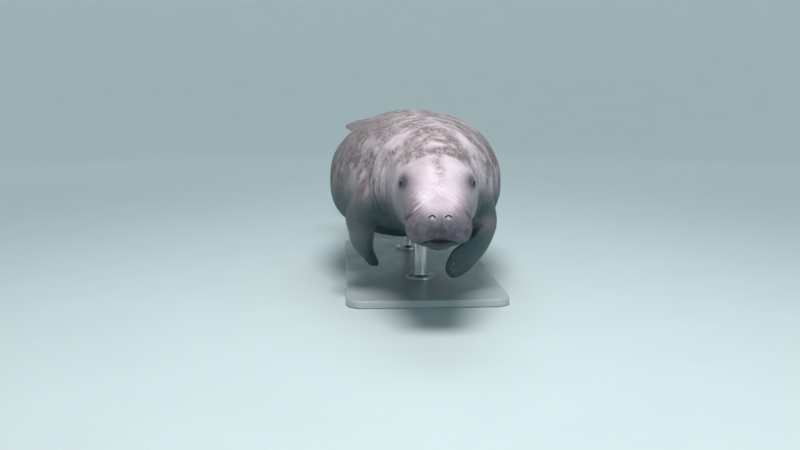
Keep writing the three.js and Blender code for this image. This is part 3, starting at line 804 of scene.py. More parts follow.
def lids(p):
    """Sets the skin round the eyes, and returns the painted shade in its grooves and round the
    lids' edge.
    """
    shade = np.zeros(len(p))
    for centre, facing, side in EYES.values():
        across, up = looking(facing)
        d = p - centre
        a0, b0, h = d @ across, d @ up, d @ facing
        c, s = math.cos(side * LID_TILT), math.sin(side * LID_TILT)
        a, b = a0 * c + b0 * s, b0 * c - a0 * s
        around, behind = LID_REACH
        near = np.nonzero((np.hypot(a, b) < around) & (h > -behind) & (h < around))[0]
        a, b, h = a[near], b[near], h[near]
        r2 = a * a + b * b
        outer = (EYE_RADIUS + LID_PROUD) ** 2
        lid = np.sqrt(np.maximum(outer - r2, 0)) - 30 * (r2 >= outer)
        skin = smooth_max(lid, h, LID_BLEND)
        e = np.hypot(a / LID_OPENING[0], b / LID_OPENING[1])
        turn = np.arctan2(b, a)
        wander = 0.09 * noise(p[near], 9, 3)
        rise, at, width = LID_RIM
        skin += rise * bell(e - at, width)
        # Grooves round the lids, each with painted shade in it
        for at, depth in LID_GROOVES:
            broken = 0.55 + 0.45 * np.sin(2 * turn + at * 3)
            groove = bell(e - at - wander * at, LID_GROOVE_WIDTH) * broken
            skin -= depth * groove
            shade[near] += 0.42 * depth * groove
        depth, count = LID_FANS
        fan = np.abs(np.cos(turn)) ** 6 * between(e, 1.3, 1.9, 2.6, 3.6)
        groove = creases(turn * count, 0.35) * fan
        skin -= depth * groove
        # Painted shade in the fine folds, and a painted ring of shade at the lids' edge
        shade[near] += 0.35 * groove + 0.9 * bell(e - 1.05, 0.3)
        hidden = np.sqrt(np.maximum(EYE_RADIUS**2 - r2, 0)) - LID_UNDER
        skin = mix(skin, hidden, falling(e, 0.9, 1.06))
        p[near] += facing * (skin - h)[:, None]
    return shade


NOSTRIL_REACH = (26, 24)  # round the nostril, and before and behind it
NOSTRIL_SLIT = (9.5, 12, 1.5)  # radius of the arc, depth, width
NOSTRIL_RIM = (13.6, 1.5, 2.6)  # radius, rise, width
NOSTRIL_LOBE = (3.5, 2.0, 7.5)  # distance below the middle, rise, width
NOSTRIL_PALE = (4.5, 9.5)  # the pale lobe's distance below the middle, and width


def nostrils(p, tree):
    """Sets the skin round the nostrils, and returns the painted shade in each slit, and the lobe
    under it with a painted highlight on the rim above.
    """
    shade, valve_and_rim_highlight = np.zeros(len(p)), np.zeros(len(p))
    radius, slit, slit_width = NOSTRIL_SLIT
    rim, rim_rise, rim_width = NOSTRIL_RIM
    below, lobe_rise, lobe_width = NOSTRIL_LOBE
    for side in (1, -1):
        start = from_head(np.array([side * NOSTRIL[0], -240.0, NOSTRIL[1]]))
        ahead = turned(np.array([0.0, 1.0, 0.0]), -HEAD_TURN)
        seat = np.array(tree.ray_cast(Vector(start), Vector(ahead))[0])
        facing = unit(turned(np.array(NOSTRIL_FACING) * (side, 1, 1), -HEAD_TURN))
        across, up = looking(facing)
        d = p - seat
        a, b, h = d @ across, d @ up, d @ facing
        near = np.nonzero((np.hypot(a, b) < NOSTRIL_REACH[0]) & (np.abs(h) < NOSTRIL_REACH[1]))[0]
        a, b = a[near], b[near]
        r = np.hypot(a, b * 1.05)
        crescent = smoothstep(b / np.maximum(r, 1e-3), -0.05, 0.5)
        rise = -slit * bell(r - radius, slit_width) * crescent
        rise += rim_rise * bell(r - rim, rim_width) * crescent
        rise += lobe_rise * bell(np.hypot(a, b + below), lobe_width)
        # Painted shade in the slit, mostly along its upper arc
        ring = bell(r - radius, 1.9) * (0.14 + 0.86 * crescent)
        shade[near] = np.maximum(shade[near], ring)
        # The paler lobe under the slit, and a painted highlight along the rim above it
        lobe = bell(np.hypot(a, b + NOSTRIL_PALE[0]), NOSTRIL_PALE[1])
        valve_and_rim_highlight[near] = np.maximum(valve_and_rim_highlight[near], lobe + 0.8 * bell(r - rim, 2.2) * crescent)
        p[near] += facing * rise[:, None]
    return shade, valve_and_rim_highlight


# The face's folds, each list with what its columns hold
FOLD_TOP = -29  # where the fold over the muzzle starts, under the forehead
FOLD_SLOPE = (0.3, 0.0044)  # how it falls with the distance to the side, and with its square
# Distance from the fold, and depth
FOLD_ECHOES = ((-12, 1.1), (-21, 1.0), (-30, 0.8), (11, 0.8), (21, 0.7), (32, 0.5))
CHEEK_CREASES = ((-74, 6.0, 5.0), (-54, 2.6, 3.4), (-38, 1.6, 3.0))  # place along, depth, width
ECHO_WIDTH = 2.0
TUCK_DEPTH = 3.5
LIP_DRAWN = 4.0
PAD_FOLDS = (9.5, 1.3)  # spacing, depth
PORES = (5.2, 0.7)  # spacing, rise


def muzzle_fold(q):
    """How far a point is above the fold that runs from the forehead down behind the lips."""
    x = np.abs(q[:, 0])
    slope, bend = FOLD_SLOPE
    line = FOLD_TOP - slope * x - bend * x * x
    return (q[:, 2] - line) / np.sqrt(1 + (slope + 2 * bend * x) ** 2)


def face_detail(p):
    """Folds and creases of the face, as a rise along the normals.

    With it come the painted shade in its creases, the painted highlight along its folds, and how
    far each point is above the fold.
    """
    q = in_head(p)
    qx, y, z = q.T
    x = np.abs(qx)
    front = falling(y, -10, 25)
    ends = falling(x, 84, 102)
    apart = smoothstep(x, 1, 14)
    shown = front * ends * apart
    # Two arcs run down from the bridge and end behind the lip pads.
    fold = muzzle_fold(q) - 3.5 + 1.6 * noise(p, 30, 5)
    rise = (1.9 * bell(fold - 9, 7) + 2.3 * bell(fold + 10, 8) - 1.9 * bell(fold, 3.4)) * shown
    fade = np.where(qx > 0, falling(x, 52, 82), ends)
    unbroken = 0.5 + 0.5 * smoothstep(noise(p, 19, 9), -0.6, 0.2)
    # A painted highlight just above the fold, broken in places
    line = bell(fold - 1.5, 1.7) * front * fade * apart * unbroken
    shade = np.zeros(len(p))
    # Fainter folds beside the arcs, each with painted shade in its groove and a painted highlight
    # beside it
    for at, depth in FOLD_ECHOES:
        broken = shown * smoothstep(noise(p, 24, 7 + at), -0.3, 0.3)
        thin = bell(fold - at - 2 * noise(p, 15, 3 + at), ECHO_WIDTH) * broken
        rise -= depth * thin
        shade += 0.22 * depth * thin
        line += 0.22 * bell(fold - at - 3, ECHO_WIDTH) * broken
    # The arcs' outer ends sink into a short deep crease over each lip pad, with painted shade in
    # it.
    tuck = bell(fold, 3.2) * between(x, 78, 90, 108, 122) * falling(y, 0, 30)
    rise -= TUCK_DEPTH * tuck
    shade += 0.95 * tuck
    # Short upright wrinkles where the arcs meet over the nose, with painted shade in them
    groove = creases((qx + 3 * noise(p, 22, 15)) / 7.5, 0.4)
    groove *= spot(qx, z, (0, -52), (24, 26)) * front
    rise -= 0.9 * groove
    shade += 0.2 * groove
    # The crease between the lip pad and the cheek, with painted shade in it
    for at, depth, width in CHEEK_CREASES:
        slope = 0.87 * (z + 110) + 0.5 * (y - at) + 1.5 * noise(p, 20, 11)
        crease = bell(slope, width) * bell(y - at, 19) * smoothstep(x, 62, 80)
        rise -= depth * crease
        shade += 0.2 * depth * crease
    # Lips: the upper lip's middle is drawn in over the mouth, and the lip pads roll round it.
    # Painted shade lies along the mouth and over the drawn-in middle.
    over_mouth = mouth_distance(q)
    lips = lips_run(q)
    rise -= LIP_LINE[0] * bell(over_mouth, LIP_LINE[1]) * lips
    above = smoothstep(over_mouth, -2, 2) * front
    rise -= LIP_DRAWN * above * bell(over_mouth - 3, 21) * bell(x, 38)
    shade += 0.5 * bell(over_mouth, 6.5) * lips * (0.35 + 0.65 * bell(x, 46))
    shade += 0.8 * above * bell(over_mouth - 3, 38) * bell(x, 42)
    # Folds over the lip pads with painted shade in them, the pores that the bristles grow from, and
    # darker mottles
    pads = falling(y, -70, -45) * falling(z, -118, -98)
    wave = z + 0.25 * x + 6 * noise(p, 18, 13)
    groove = creases(wave / PAD_FOLDS[0], 0.34) * pads * smoothstep(noise(p, 20, 21), -0.3, 0.3)
    rise -= PAD_FOLDS[1] * groove
    shade += 0.2 * groove
    rise += PORES[1] * noise(p, PORES[0], 17) * pads
    mottle = smoothstep(noise(p, 21, 35), -0.3, 0.25) * bell((z + 142) / 27, 1)
    shade += 0.55 * mottle * falling(y, -60, -30)
    return rise, np.clip(shade, 0, 1.5), np.clip(line, 0, 1), fold


def wrinkles(p, phase, step, width, length, seed):
    """Broken, wandering wrinkles, one every step, each about as long as given."""
    wander = 0.3 * step * noise(p, step * 1.6, seed) + 0.9 * step * noise(p, step * 5, seed + 1)
    broken = smoothstep(noise(p, (length, step * 1.7, length), seed + 2), -0.15, 0.35)
    return creases((phase + wander) / step, width) * broken


# The body's folds. The paddle's grooves fan out from a point on its middle line.
PADDLE_FAN = 1760
ROLLS = ((318, 46, 9), (226, 34, -8))  # the roll of flesh behind the head: place, width, rise
LOW_ROLLS = ((470, 40, 5), (396, 26, -5))
# Slant, spacing, depth, seed
CROSSED = ((0.22, 15.5, 1.7, 41), (-0.3, 18.5, 1.5, 51), (0.02, 27, 1.6, 61))
# Distance from the flipper's root, width, share of the depth
ROOT_FOLDS = ((40, 5, 1.0), (72, 6, 0.7), (104, 6, 0.5))
LIMB_REACH = 120
LIMB_FROM = 0.22


def body_detail(p, web, along, off_line):
    """Folds and wrinkles of the neck, trunk, flippers and tail, as a rise along the normals, with
    the painted shade in their grooves.
    """
    x, y, z = p.T
    level = level_at(y)
    room = np.where(z > level, top_at(y) - level, level - bottom_at(y))
    height = (z - level) / np.maximum(60, room)
    on_limb = (off_line < LIMB_REACH) & (along > LIMB_FROM)
    trunk = np.where(on_limb, 0.0, 1.0)
    rise = (3.4 * noise(p, 170, 19) + 1.5 * noise(p, 66, 23)) * smoothstep(y, -40, 160)
    phase = y + 26 * noise(p, 150, 29) + 7 * noise(p, 44, 31) - 0.1 * z
    lower = falling(height, 0.3, 0.85)
    rolled = smoothstep(height, -0.55, 0.0) * trunk
    for rolls, where in ((ROLLS, rolled), (LOW_ROLLS, rolled * lower)):
        for at, width, up in rolls:
            rise += up * bell((phase - at) / width, 1) * where
    # Deep folds of the neck and throat
    groove = wrinkles(p, phase, 44, 0.24, 150, 37) * between(y, 70, 140, 330, 460) * lower * trunk
    rise -= 4.4 * groove
    shade = 0.6 * groove
    # Close wrinkles cross each other at a slant.
    sides = smoothstep(y, 50, 140) * trunk * (0.22 + 0.78 * lower)
    sides *= 1 - 0.5 * smoothstep(y, 1000, 1600)
    for slant, step, depth, seed in CROSSED:
        groove = wrinkles(p, phase + slant * z, step, 0.36, 62, seed) * sides
        rise -= depth * groove
        shade += 0.27 * depth * groove
    # Folds round each flipper's root, and wrinkles across the flipper
    ring = web + 9 * noise(p, 60, 47)
    groove = sum(share * bell(ring - at, width) for at, width, share in ROOT_FOLDS)
    groove *= (web < 150) * smoothstep(noise(p, 80, 49), -0.4, 0.3)
    rise -= 2.8 * groove
    shade += 0.4 * groove
    limb = on_limb * smoothstep(along, LIMB_FROM, 0.34) * (1 - 0.5 * smoothstep(along, 0.6, 0.9))
    groove = wrinkles(p, along * 400, 17, 0.36, 60, 53) * limb
    rise -= 1.6 * groove
    shade += 0.3 * groove
    # The paddle: faint grooves that run back and out to its margin
    fan = np.arctan2(x, y - PADDLE_FAN)
    groove = creases(fan * 13 + 0.6 * noise(p, 160, 61), 0.3) * smoothstep(y, 2080, 2300)
    rise -= 0.9 * groove * smoothstep(noise(p, 90, 67), -0.3, 0.4)
    return rise, shade, height, on_limb


_, along, off_line = limb_places(points)
normals = point_normals(points, triangles)
bare = points.copy()
tree = surface(points, triangles)
face_rise, face_shade, line, fold = face_detail(points)
body_rise, body_shade, height, on_limb = body_detail(points, web, along, off_line)
points += normals * (face_rise + body_rise)[:, None]
nose_shade, valve_and_rim_highlight = nostrils(points, tree)
shade = np.clip(face_shade + body_shade + 1.2 * nose_shade + lids(points), 0, 1)

# The masks that the skin's colours follow: first the face, in the head's frame
q = in_head(bare)
qx, qy, qz = q.T
x, y = np.abs(qx), bare[:, 1]
front = falling(qy, -40, 0)
forehead = spot(qx, qz, (0, -6), (60, 84)) * falling(qy, -6, 62)
bridge = spot(qx, qz, (0, -34), (46, 56)) * falling(qy, -20, 20)
cheek = spot(x, qz, (88, -66), (42, 48)) * falling(qy, 0, 60)
muzzle = front * falling(qz + 0.06 * x, -104, -34)
muzzle *= (1 - 0.34 * valve_and_rim_highlight) * (1 - 0.4 * smoothstep(x, 74, 98) * (qx < 0))
muzzle = np.maximum(muzzle, 0.2 * front * smoothstep(-fold, -1, 5) * falling(x, 84, 102))
# Painted shade round each eye, set a little towards the nose and up
socket = np.zeros(len(bare))
for centre, facing, side in EYES.values():
    across, up = looking(facing)
    inward = centre + across * (-15.0 * side) + up * 4.0
    away = np.linalg.norm((bare - inward) * (0.8, 0.8, 1.05), axis=1)
    socket = np.maximum(socket, 0.9 * bell(away, 26) + 0.46 * bell(away, 52))
socket = np.clip(socket, 0, 1)
chin = np.where((mouth_distance(q) < 0) & (qy < 60), falling(qz, -160, -150), 0.0)
chin = np.maximum(chin, falling(qz, -196, -170) * falling(qy, 20, 60))
pads_low = front * falling(qz + 0.12 * x, -180, -128)

# Painted light and shade: lighter where the light falls from above and darker on the cheeks, with
# random tone; teal painted shade under the body, on the chin, the lip pads' lower halves and the
# flippers
low_noise = noise(bare, 190, 71)
mid_noise = noise(bare, 55, 73)
roll = bell((y + 26 * noise(bare, 150, 29) - 316) / 42, 1) * smoothstep(height, -0.3, 0.4)
shoulder = spot(y, height, (480, 0.1), (260, 0.5))
# Painted light: lighter towards the top and on the forehead and bridge, a painted highlight along
# the roll behind the head and over the shoulders, darker on the cheeks
painted_light_and_tone = 0.34 * smoothstep(height, -0.5, 0.5) + 0.6 * forehead + 0.62 * bridge
painted_light_and_tone += 0.2 * roll - 0.55 * cheek
painted_light_and_tone += 0.4 * shoulder + 0.22 * smoothstep(height, 0.1, 0.7) * falling(y, 330, 640)
painted_light_and_tone *= 1 - 0.75 * smoothstep(y, 1950, 2250)
# The painted highlights along the folds and nostril rims join it, with random tone
painted_light_and_tone = np.clip(painted_light_and_tone + 0.12 * low_noise + 0.12 * mid_noise + 0.45 * line + 0.25 * valve_and_rim_highlight, 0, 1)
# Painted shade, teal as the light under water: darker towards the underside, with a faint teal tint
# over the tail
teal_shade = falling(height + 0.16 * low_noise, -0.62, 0.14) * (smoothstep(y, -60, 120) * 0.85 + 0.15)
teal_shade = np.maximum(teal_shade, smoothstep(y, 2000, 2300) * (0.16 + 0.14 * low_noise))
# The flippers get the painted teal shade too, more of it further from their roots
limb_share = smoothstep(along, 0.12, 0.3) * falling(off_line, 100, 150)
teal_shade = mix(teal_shade, 0.55 + 0.45 * smoothstep(along, 0.2, 0.5), limb_share)
# and the chin and the lip pads' lower halves get it as well
teal_shade = np.clip(np.maximum(teal_shade, np.maximum(chin, pads_low)), 0, 1)
# More painted shade: on the lip pads' lower halves, under the neck, and on the flippers towards
# their tips
shade = np.maximum(shade, 0.42 * pads_low)
shade += 0.3 * bell((y - 190) / 150, 1) * falling(height, -0.5, 0.25)
shade = np.clip(shade + 0.4 * limb_share * smoothstep(along, 0.45, 1), 0, 1)

# The algae's net: a ring round the crown, patches over the back and down the sides
up_facing = point_normals(bare, triangles)[:, 2]
over = smoothstep(up_facing, 0.05, 0.7)
crown = np.hypot((qx - 4) / 104, (qy - 192) / 112)
ring = bell(crown - 0.98, 0.3) + 0.16 * (crown < 1) + spot(qx, qy, (22, 98), (34, 26))
ring *= 1 - 0.45 * spot(qx, qy, (14, 270), (44, 70))
ring = np.clip(ring, 0, 1) * smoothstep(qy, 44, 84) * smoothstep(up_facing, 0.0, 0.5)
patches = smoothstep(noise(bare, 64, 79) + 0.5 * noise(bare, 26, 83), -0.55, 0.6)
net = over * smoothstep(qy, 40, 84) * falling(y, 1900, 2200)
net *= (0.12 + 0.5 * patches) * (1 - 0.6 * roll)
net = np.maximum(net, ring * (0.5 + 0.5 * patches))
net += 0.6 * smoothstep(height, -0.4, 0.2) * (1 - over) * between(y, 260, 400, 1700, 2000) * patches
net += 0.5 * spot(bare[:, 0], y, (-170, 980), (110, 330)) * over
net += 0.3 * over * smoothstep(y, 1900, 2100) * patches
net *= 1 - 0.8 * smoothstep(teal_shade, 0.3, 0.8)
middle_line = bell(qx - 4 - 16 * noise(bare, 60, 89), 28) * falling(qy, 60, 90)
net = np.clip(np.maximum(net, 0.34 * middle_line * smoothstep(qz, -20, 60)), 0, 1)
fleck = 0.35 * middle_line * smoothstep(qz, -46, -10) + 0.8 * spot(qx, qz, (-84, -58), (32, 46))
fleck = np.clip(fleck, 0, 1)

# Scars, pale bands, and where the fine lines and the flanks' marks show
scar_line = np.abs((bare[:, 0] + 150) * 0.62 + (y - 900) * 0.2 + 30 * noise(bare, 120, 97))
scar = bell(scar_line, 26) * over * between(y, 500, 640, 1050, 1250)
band_at = (y + 40 * noise(bare, 170, 101) - 0.25 * bare[:, 2]) / 64
bands = (0.5 + 0.5 * np.cos(2 * np.pi * band_at)) ** 2 * between(y, 120, 240, 760, 1000)
bands *= smoothstep(height, -0.6, 0.1) * (1 - 0.6 * smoothstep(height, 0.5, 1))
wrinkled = smoothstep(y, 40, 170) * (1 - 0.8 * smoothstep(height, 0.4, 0.9))
wrinkled = np.clip(np.where(on_limb, 0.5, wrinkled) * (1 - 0.5 * smoothstep(y, 1900, 2100)), 0, 1)
flank = between(y, 560, 760, 1700, 1950) * between(height, -0.7, -0.1, 0.35, 0.8)

# One closed mesh, in the frame's metres
mesh = body.data
mesh.vertices.foreach_set("co", to_frame(points).ravel())
mesh.update()
mesh.polygons.foreach_set("use_smooth", [True] * len(mesh.polygons))
MASKS = {
    "painted_light_and_tone": painted_light_and_tone, "teal_shade": teal_shade, "muzzle": muzzle, "net": net, "fleck": fleck, "scar": scar,
    "bands": bands, "wrinkled": wrinkled, "shade": shade, "socket": socket, "flank": flank,
    "line": line,
}
for name, values in MASKS.items():
    layer = mesh.attributes.new(name, "FLOAT", "POINT")
    layer.data.foreach_set("value", values.astype(np.float32))


# Materials
class Nodes:
    """A material's nodes, made and joined by short calls."""

    def __init__(self, name):
        self.material = bpy.data.materials.new(name)
        self.material.use_nodes = True
        self.tree = self.material.node_tree
        self.shader = self.tree.nodes["Principled BSDF"]

    def put(self, node, inputs):
        """Joins or sets a node's inputs, given by name or number."""
        for key, value in inputs.items():
            if isinstance(value, bpy.types.NodeSocket):
                self.tree.links.new(value, node.inputs[key])
            else:
                node.inputs[key].default_value = value

    def finish(self, inputs):
        self.put(self.shader, inputs)
        return self.material

    def make(self, kind, inputs, **settings):
        made = self.tree.nodes.new("ShaderNode" + kind)
        for key, value in settings.items():
            setattr(made, key, value)
        self.put(made, inputs)
        return made

    def mask(self, name):
        return self.make("Attribute", {}, attribute_name=name).outputs["Fac"]

    def place(self, scale=(1, 1, 1)):
        where = self.make("TexCoord", {}).outputs["Object"]
        return self.make("Mapping", {"Vector": where, "Scale": scale}).outputs["Vector"]

    def noise(self, vector, scale, detail=4, rough=0.55, distort=0, output="Fac"):
        inputs = {"Vector": vector, "Scale": scale, "Detail": detail, "Roughness": rough}
        return self.make("TexNoise", {**inputs, "Distortion": distort}).outputs[output]

    def cells(self, vector, scale, feature="F1"):
        made = self.make("TexVoronoi", {"Vector": vector, "Scale": scale}, feature=feature)
        return made.outputs["Distance"]

    def ramp(self, value, low, high, start=0.0, end=1.0):
        inputs = {"Value": value, "From Min": low, "From Max": high, "To Min": start, "To Max": end}
        return self.make("MapRange", inputs, interpolation_type="SMOOTHSTEP").outputs["Result"]

    def times(self, a, b):
        return self.make("Math", {0: a, 1: b}, operation="MULTIPLY").outputs["Value"]

    def plus(self, a, b):
        return self.make("Math", {0: a, 1: b}, operation="ADD").outputs["Value"]

    def mixed(self, kind, factor, a, b):
        """Mixes two colours, or two vectors, by the factor."""
        made = self.make("Mix", {"Factor": factor}, data_type=kind)
        numbers = [k for k, s in enumerate(made.inputs) if s.type == kind]
        self.put(made, dict(zip(numbers, (a, b))))
        return next(s for s in made.outputs if s.type == kind)

    def blend(self, factor, a, b):
        a, b = ((*c, 1) if isinstance(c, tuple) else c for c in (a, b))
        return self.mixed("RGBA", factor, a, b)

    def bump(self, height, distance, strength=1.0, under=None):
        inputs = {"Height": height, "Distance": distance, "Strength": strength}
        if under is not None:
            inputs["Normal"] = under
        return self.make("Bump", inputs).outputs["Normal"]


# The skin's colours
GREY = (0.30, 0.242, 0.262)
# The painted light of the top, forehead and bridge
LIT_PALE = (0.73, 0.60, 0.68)
PINK = (0.40, 0.27, 0.29)
SCAR = (0.62, 0.54, 0.58)
# Painted shade in the wrinkle lines
WRINKLE_SHADE = (0.085, 0.07, 0.085)
FLANK_MARK = (0.07, 0.06, 0.055)
# The painted teal shade of the underside, chin, lip pads and flippers
TEAL_SHADES = ((0.022, 0.06, 0.066), (0.045, 0.095, 0.1))
MUZZLES = ((0.078, 0.07, 0.098), (0.14, 0.12, 0.155))
ALGAE = ((0.085, 0.054, 0.034), (0.17, 0.12, 0.08))
ALGAE_FILM = (0.27, 0.185, 0.12)
FLECK = (0.17, 0.105, 0.08)
# Painted shade round the eyes
SOCKET_SHADE = (0.05, 0.042, 0.066)
# Painted highlight along the face's folds
FOLD_HIGHLIGHT = (0.82, 0.72, 0.8)
# Painted shade in creases and recesses, and the lip pads' darker mottles
SHADE_AND_MOTTLE_DARK = (0.03, 0.024, 0.034)


def algae_net(n, grain):
    """Algae grow in a loose net of thin lines. Returns the net, and the film between its lines."""
    drawn_out = n.place((1, 0.55, 1))
    warp = n.noise(drawn_out, 40, 4, 0.5, 0, "Color")
    net_place = n.mixed("VECTOR", 0.03, drawn_out, warp)
    wide = n.ramp(n.cells(net_place, 54, "DISTANCE_TO_EDGE"), 0.0, 0.14, 1, 0)
    close = n.ramp(n.cells(net_place, 115, "DISTANCE_TO_EDGE"), 0.0, 0.15, 1, 0)
    thick = n.ramp(n.noise(drawn_out, 42, 6, 0.8), 0.44, 0.58)
    speck = n.ramp(n.noise(drawn_out, 120, 4, 0.8), 0.5, 0.57)
    net = n.plus(n.times(wide, n.ramp(grain, 0.35, 0.55)), n.times(close, thick))
    net = n.plus(net, n.times(speck, n.ramp(thick, 0, 1, 0.3, 1)))
    net = n.times(n.ramp(net, 0.1, 0.8), n.ramp(n.mask("net"), 0.0, 0.6))
    return net, n.times(n.mask("net"), thick)


def skin_material():
    n = Nodes("manatee_skin")
    where = n.place()
    across = n.place((1.9, 7, 1.9))
    lines = n.noise(across, 19, 6, 0.7, 0.9)
    fine_lines = n.noise(across, 40, 5, 0.66, 0.6)
    grain = n.noise(where, 60, 6, 0.68)
    broad = n.noise(where, 7, 4)
    wrinkled = n.mask("wrinkled")
    algae, film = algae_net(n, grain)
    tone = n.plus(n.mask("painted_light_and_tone"), n.times(n.plus(grain, -0.5), 0.42))
    # From grey to the painted light of the top, forehead and bridge, with random tone
    colour = n.blend(n.ramp(tone, 0.0, 1.0), GREY, LIT_PALE)
    # Layers, from the skin up: where each shows, how much of it, and its colour
    layers = (
        (n.ramp(broad, 0.5, 0.72), 0.4, PINK),
        (n.mask("bands"), 0.3, SCAR),
        (n.mask("scar"), 0.75, SCAR),
        # Painted shade in the wrinkle lines
        (n.times(n.ramp(lines, 0.5, 0.62), wrinkled), 0.4, WRINKLE_SHADE),
        (n.times(n.ramp(lines, 0.36, 0.47, 1, 0), wrinkled), 0.3, SCAR),
        (n.times(n.ramp(fine_lines, 0.44, 0.6), n.mask("flank")), 0.6, FLANK_MARK),
        # Painted teal shade under the body, chin, lip pads and flippers
        (n.mask("teal_shade"), 1, n.blend(n.ramp(grain, 0.3, 0.75), *TEAL_SHADES)),
        (n.times(n.mask("muzzle"), n.ramp(n.mask("teal_shade"), 0, 1, 1, 0.1)), 0.9,
         n.blend(n.ramp(grain, 0.3, 0.7), *MUZZLES)),
        (film, 0.15, ALGAE_FILM),
        (algae, 0.88, n.blend(n.ramp(grain, 0.3, 0.7), *ALGAE)),
        (n.times(n.ramp(n.noise(where, 120, 5, 0.75), 0.47, 0.6), n.mask("fleck")), 0.8, FLECK),
        # Painted shade round the eyes
        (n.mask("socket"), 0.85, SOCKET_SHADE),
        # Painted highlight along the face's folds
        (n.mask("line"), 0.52, FOLD_HIGHLIGHT),
        # Painted shade in creases, recesses, under the neck and on the flipper tips, with the lip
        # pads' mottles
        (n.mask("shade"), 0.72, SHADE_AND_MOTTLE_DARK),
    )
    for place, share, other in layers:
        colour = n.blend(n.times(place, share), colour, other)
    height = n.plus(n.times(lines, wrinkled), n.times(n.times(fine_lines, wrinkled), 0.55))
    height = n.plus(height, n.times(grain, 0.4))
    pebbles = n.bump(n.cells(where, 330), 0.0012, 0.7)
    rough_net = n.bump(n.times(algae, -1.0), 0.0012, 0.7, pebbles)
    return n.finish({
        "Base Color": colour,
        "Roughness": n.ramp(n.plus(grain, n.times(algae, 0.6)), 0.2, 1.1, 0.42, 0.72),
        "Specular IOR Level": 0.42,
        "Normal": n.bump(height, 0.0048, 0.9, rough_net),
    })


body.name = "skin"
body.data.name = "skin"
body.data.materials.clear()
body.data.materials.append(skin_material())
FLESH = ("muzzle", "lower_jaw", "head", "neck", "chest", "belly", "tail_stock", "tail_paddle",
         "flipper_left", "flipper_right")
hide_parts(*FLESH)
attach(body, "root")

# Eyes
EYE_RINGS, EYE_SIDES = 40, 56
CORNEA = (0.9, 0.52)  # rise, and width in radians
CORNEA_GROOVE = (0.25, 0.62, 0.09)  # depth, and place and width in radians


def eye_piece(name):
    """An eyeball with a raised cornea, and how far each point is from its middle, in radians."""
    centre, facing, _ = EYES[name]
    across, up = looking(facing)
    away = np.repeat(math.pi * np.arange(EYE_RINGS + 1) / EYE_RINGS, EYE_SIDES)
    turn = np.tile(2 * math.pi * np.arange(EYE_SIDES) / EYE_SIDES, EYE_RINGS + 1)
    depth, at, width = CORNEA_GROOVE
    bulge = EYE_RADIUS + CORNEA[0] * bell(away, CORNEA[1]) - depth * bell(away - at, width)
    out = np.outer(np.cos(turn), across) + np.outer(np.sin(turn), up)
    out = out * np.sin(away)[:, None] + np.outer(np.cos(away), facing)
    made = to_frame(centre + bulge[:, None] * out)
    piece = mesh_object("eyeball_" + name, made, tube_faces(EYE_RINGS + 1, EYE_SIDES))
    layer = piece.data.attributes.new("away", "FLOAT", "POINT")
    layer.data.foreach_set("value", away.astype(np.float32))
    cleaned(piece, 1e-6)
    return piece


def eye_material():
    n = Nodes("manatee_eye")
    away = n.mask("away")
    where = n.place()
    threads = n.noise(where, 900, 3, 0.7)
    iris = n.blend(threads, (0.01, 0.006, 0.005), (0.034, 0.02, 0.014))
    white = n.blend(n.noise(where, 300, 2), (0.03, 0.022, 0.024), (0.06, 0.045, 0.047))
    colour = n.blend(n.ramp(away, 0.6, 0.68), iris, white)
    return n.finish({
        "Base Color": n.blend(n.ramp(away, 0.17, 0.21, 1, 0), colour, (0.002, 0.002, 0.003)),
        "Roughness": n.ramp(threads, 0, 1, 0.04, 0.1),
        "Coat Weight": 0.5,
        "Coat Roughness": 0.02,
    })


wet = eye_material()
for name in EYES:
    piece = eye_piece(name)
    piece.data.materials.append(wet)
    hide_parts("eye_" + name)
    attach(piece, "root")

# Nails
NAIL_RINGS, NAIL_SIDES = 26, 36
NAIL_SQUARE = 0.8
NAIL_TAPER = (0.1, 0.16)  # of the breadth and of the thickness, from the root to the tip
NAIL_ARCH = 0.5
NAIL_RIDGES = (0.05, 21)  # height as a share of the thickness, and number


def nail_piece(limb, index):
    """An arched plate, thickest at its root and worn round at its tip, with fine ridges."""
    share, aside = (column[index] for column in NAILS)
    centre, along, chord, face, half, thick = limb_frame(limb, share)
    seat = centre + chord * half * aside + face * thick * math.sqrt(1 - aside**2)
    broad, long, deep = NAIL_SIZE
    made = []
    for r in range(NAIL_RINGS + 1):
        v = math.cos(math.pi * r / NAIL_RINGS)
        ring = math.sqrt(max(0, 1 - v * v)) ** NAIL_SQUARE
        width, depth = (1 - taper * v for taper in NAIL_TAPER)
        for i in range(NAIL_SIDES):
            turn = 2 * math.pi * i / NAIL_SIDES
            x, z = math.cos(turn) * ring, math.sin(turn) * ring
            ridge = NAIL_RIDGES[0] * math.sin(x * NAIL_RIDGES[1]) * max(0, z)
            lift = (z + ridge) * deep * depth - NAIL_ARCH * x * x * (z > 0)
            made.append(seat + chord * x * broad * width - along * v * long + face * lift)
    return made, tube_faces(NAIL_RINGS + 1, NAIL_SIDES)


def nail_material():
    n = Nodes("manatee_nail")
    where = n.place()
    streak = n.noise(where, 420, 4, 0.6)
    colour = n.blend(streak, (0.05, 0.062, 0.062), (0.11, 0.125, 0.122))
    return n.finish({
        "Base Color": n.blend(n.ramp(n.noise(where, 90, 2), 0.4, 0.7), colour, (0.08, 0.085, 0.08)),
        "Roughness": n.ramp(streak, 0, 1, 0.48, 0.62),
        "Normal": n.bump(streak, 0.0004, 0.6),
    })


horn = nail_material()
for side_name, limb in FLIPPERS.items():
    for k in range(3):
        made, faces = nail_piece(limb, k)
        piece = mesh_object(f"nail_plate_{side_name}_{k + 1}", to_frame(made), faces)
        cleaned(piece, 1e-6)
        piece.data.materials.append(horn)
        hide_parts(f"nail_{side_name}_{k + 1}")
        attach(piece, "root")

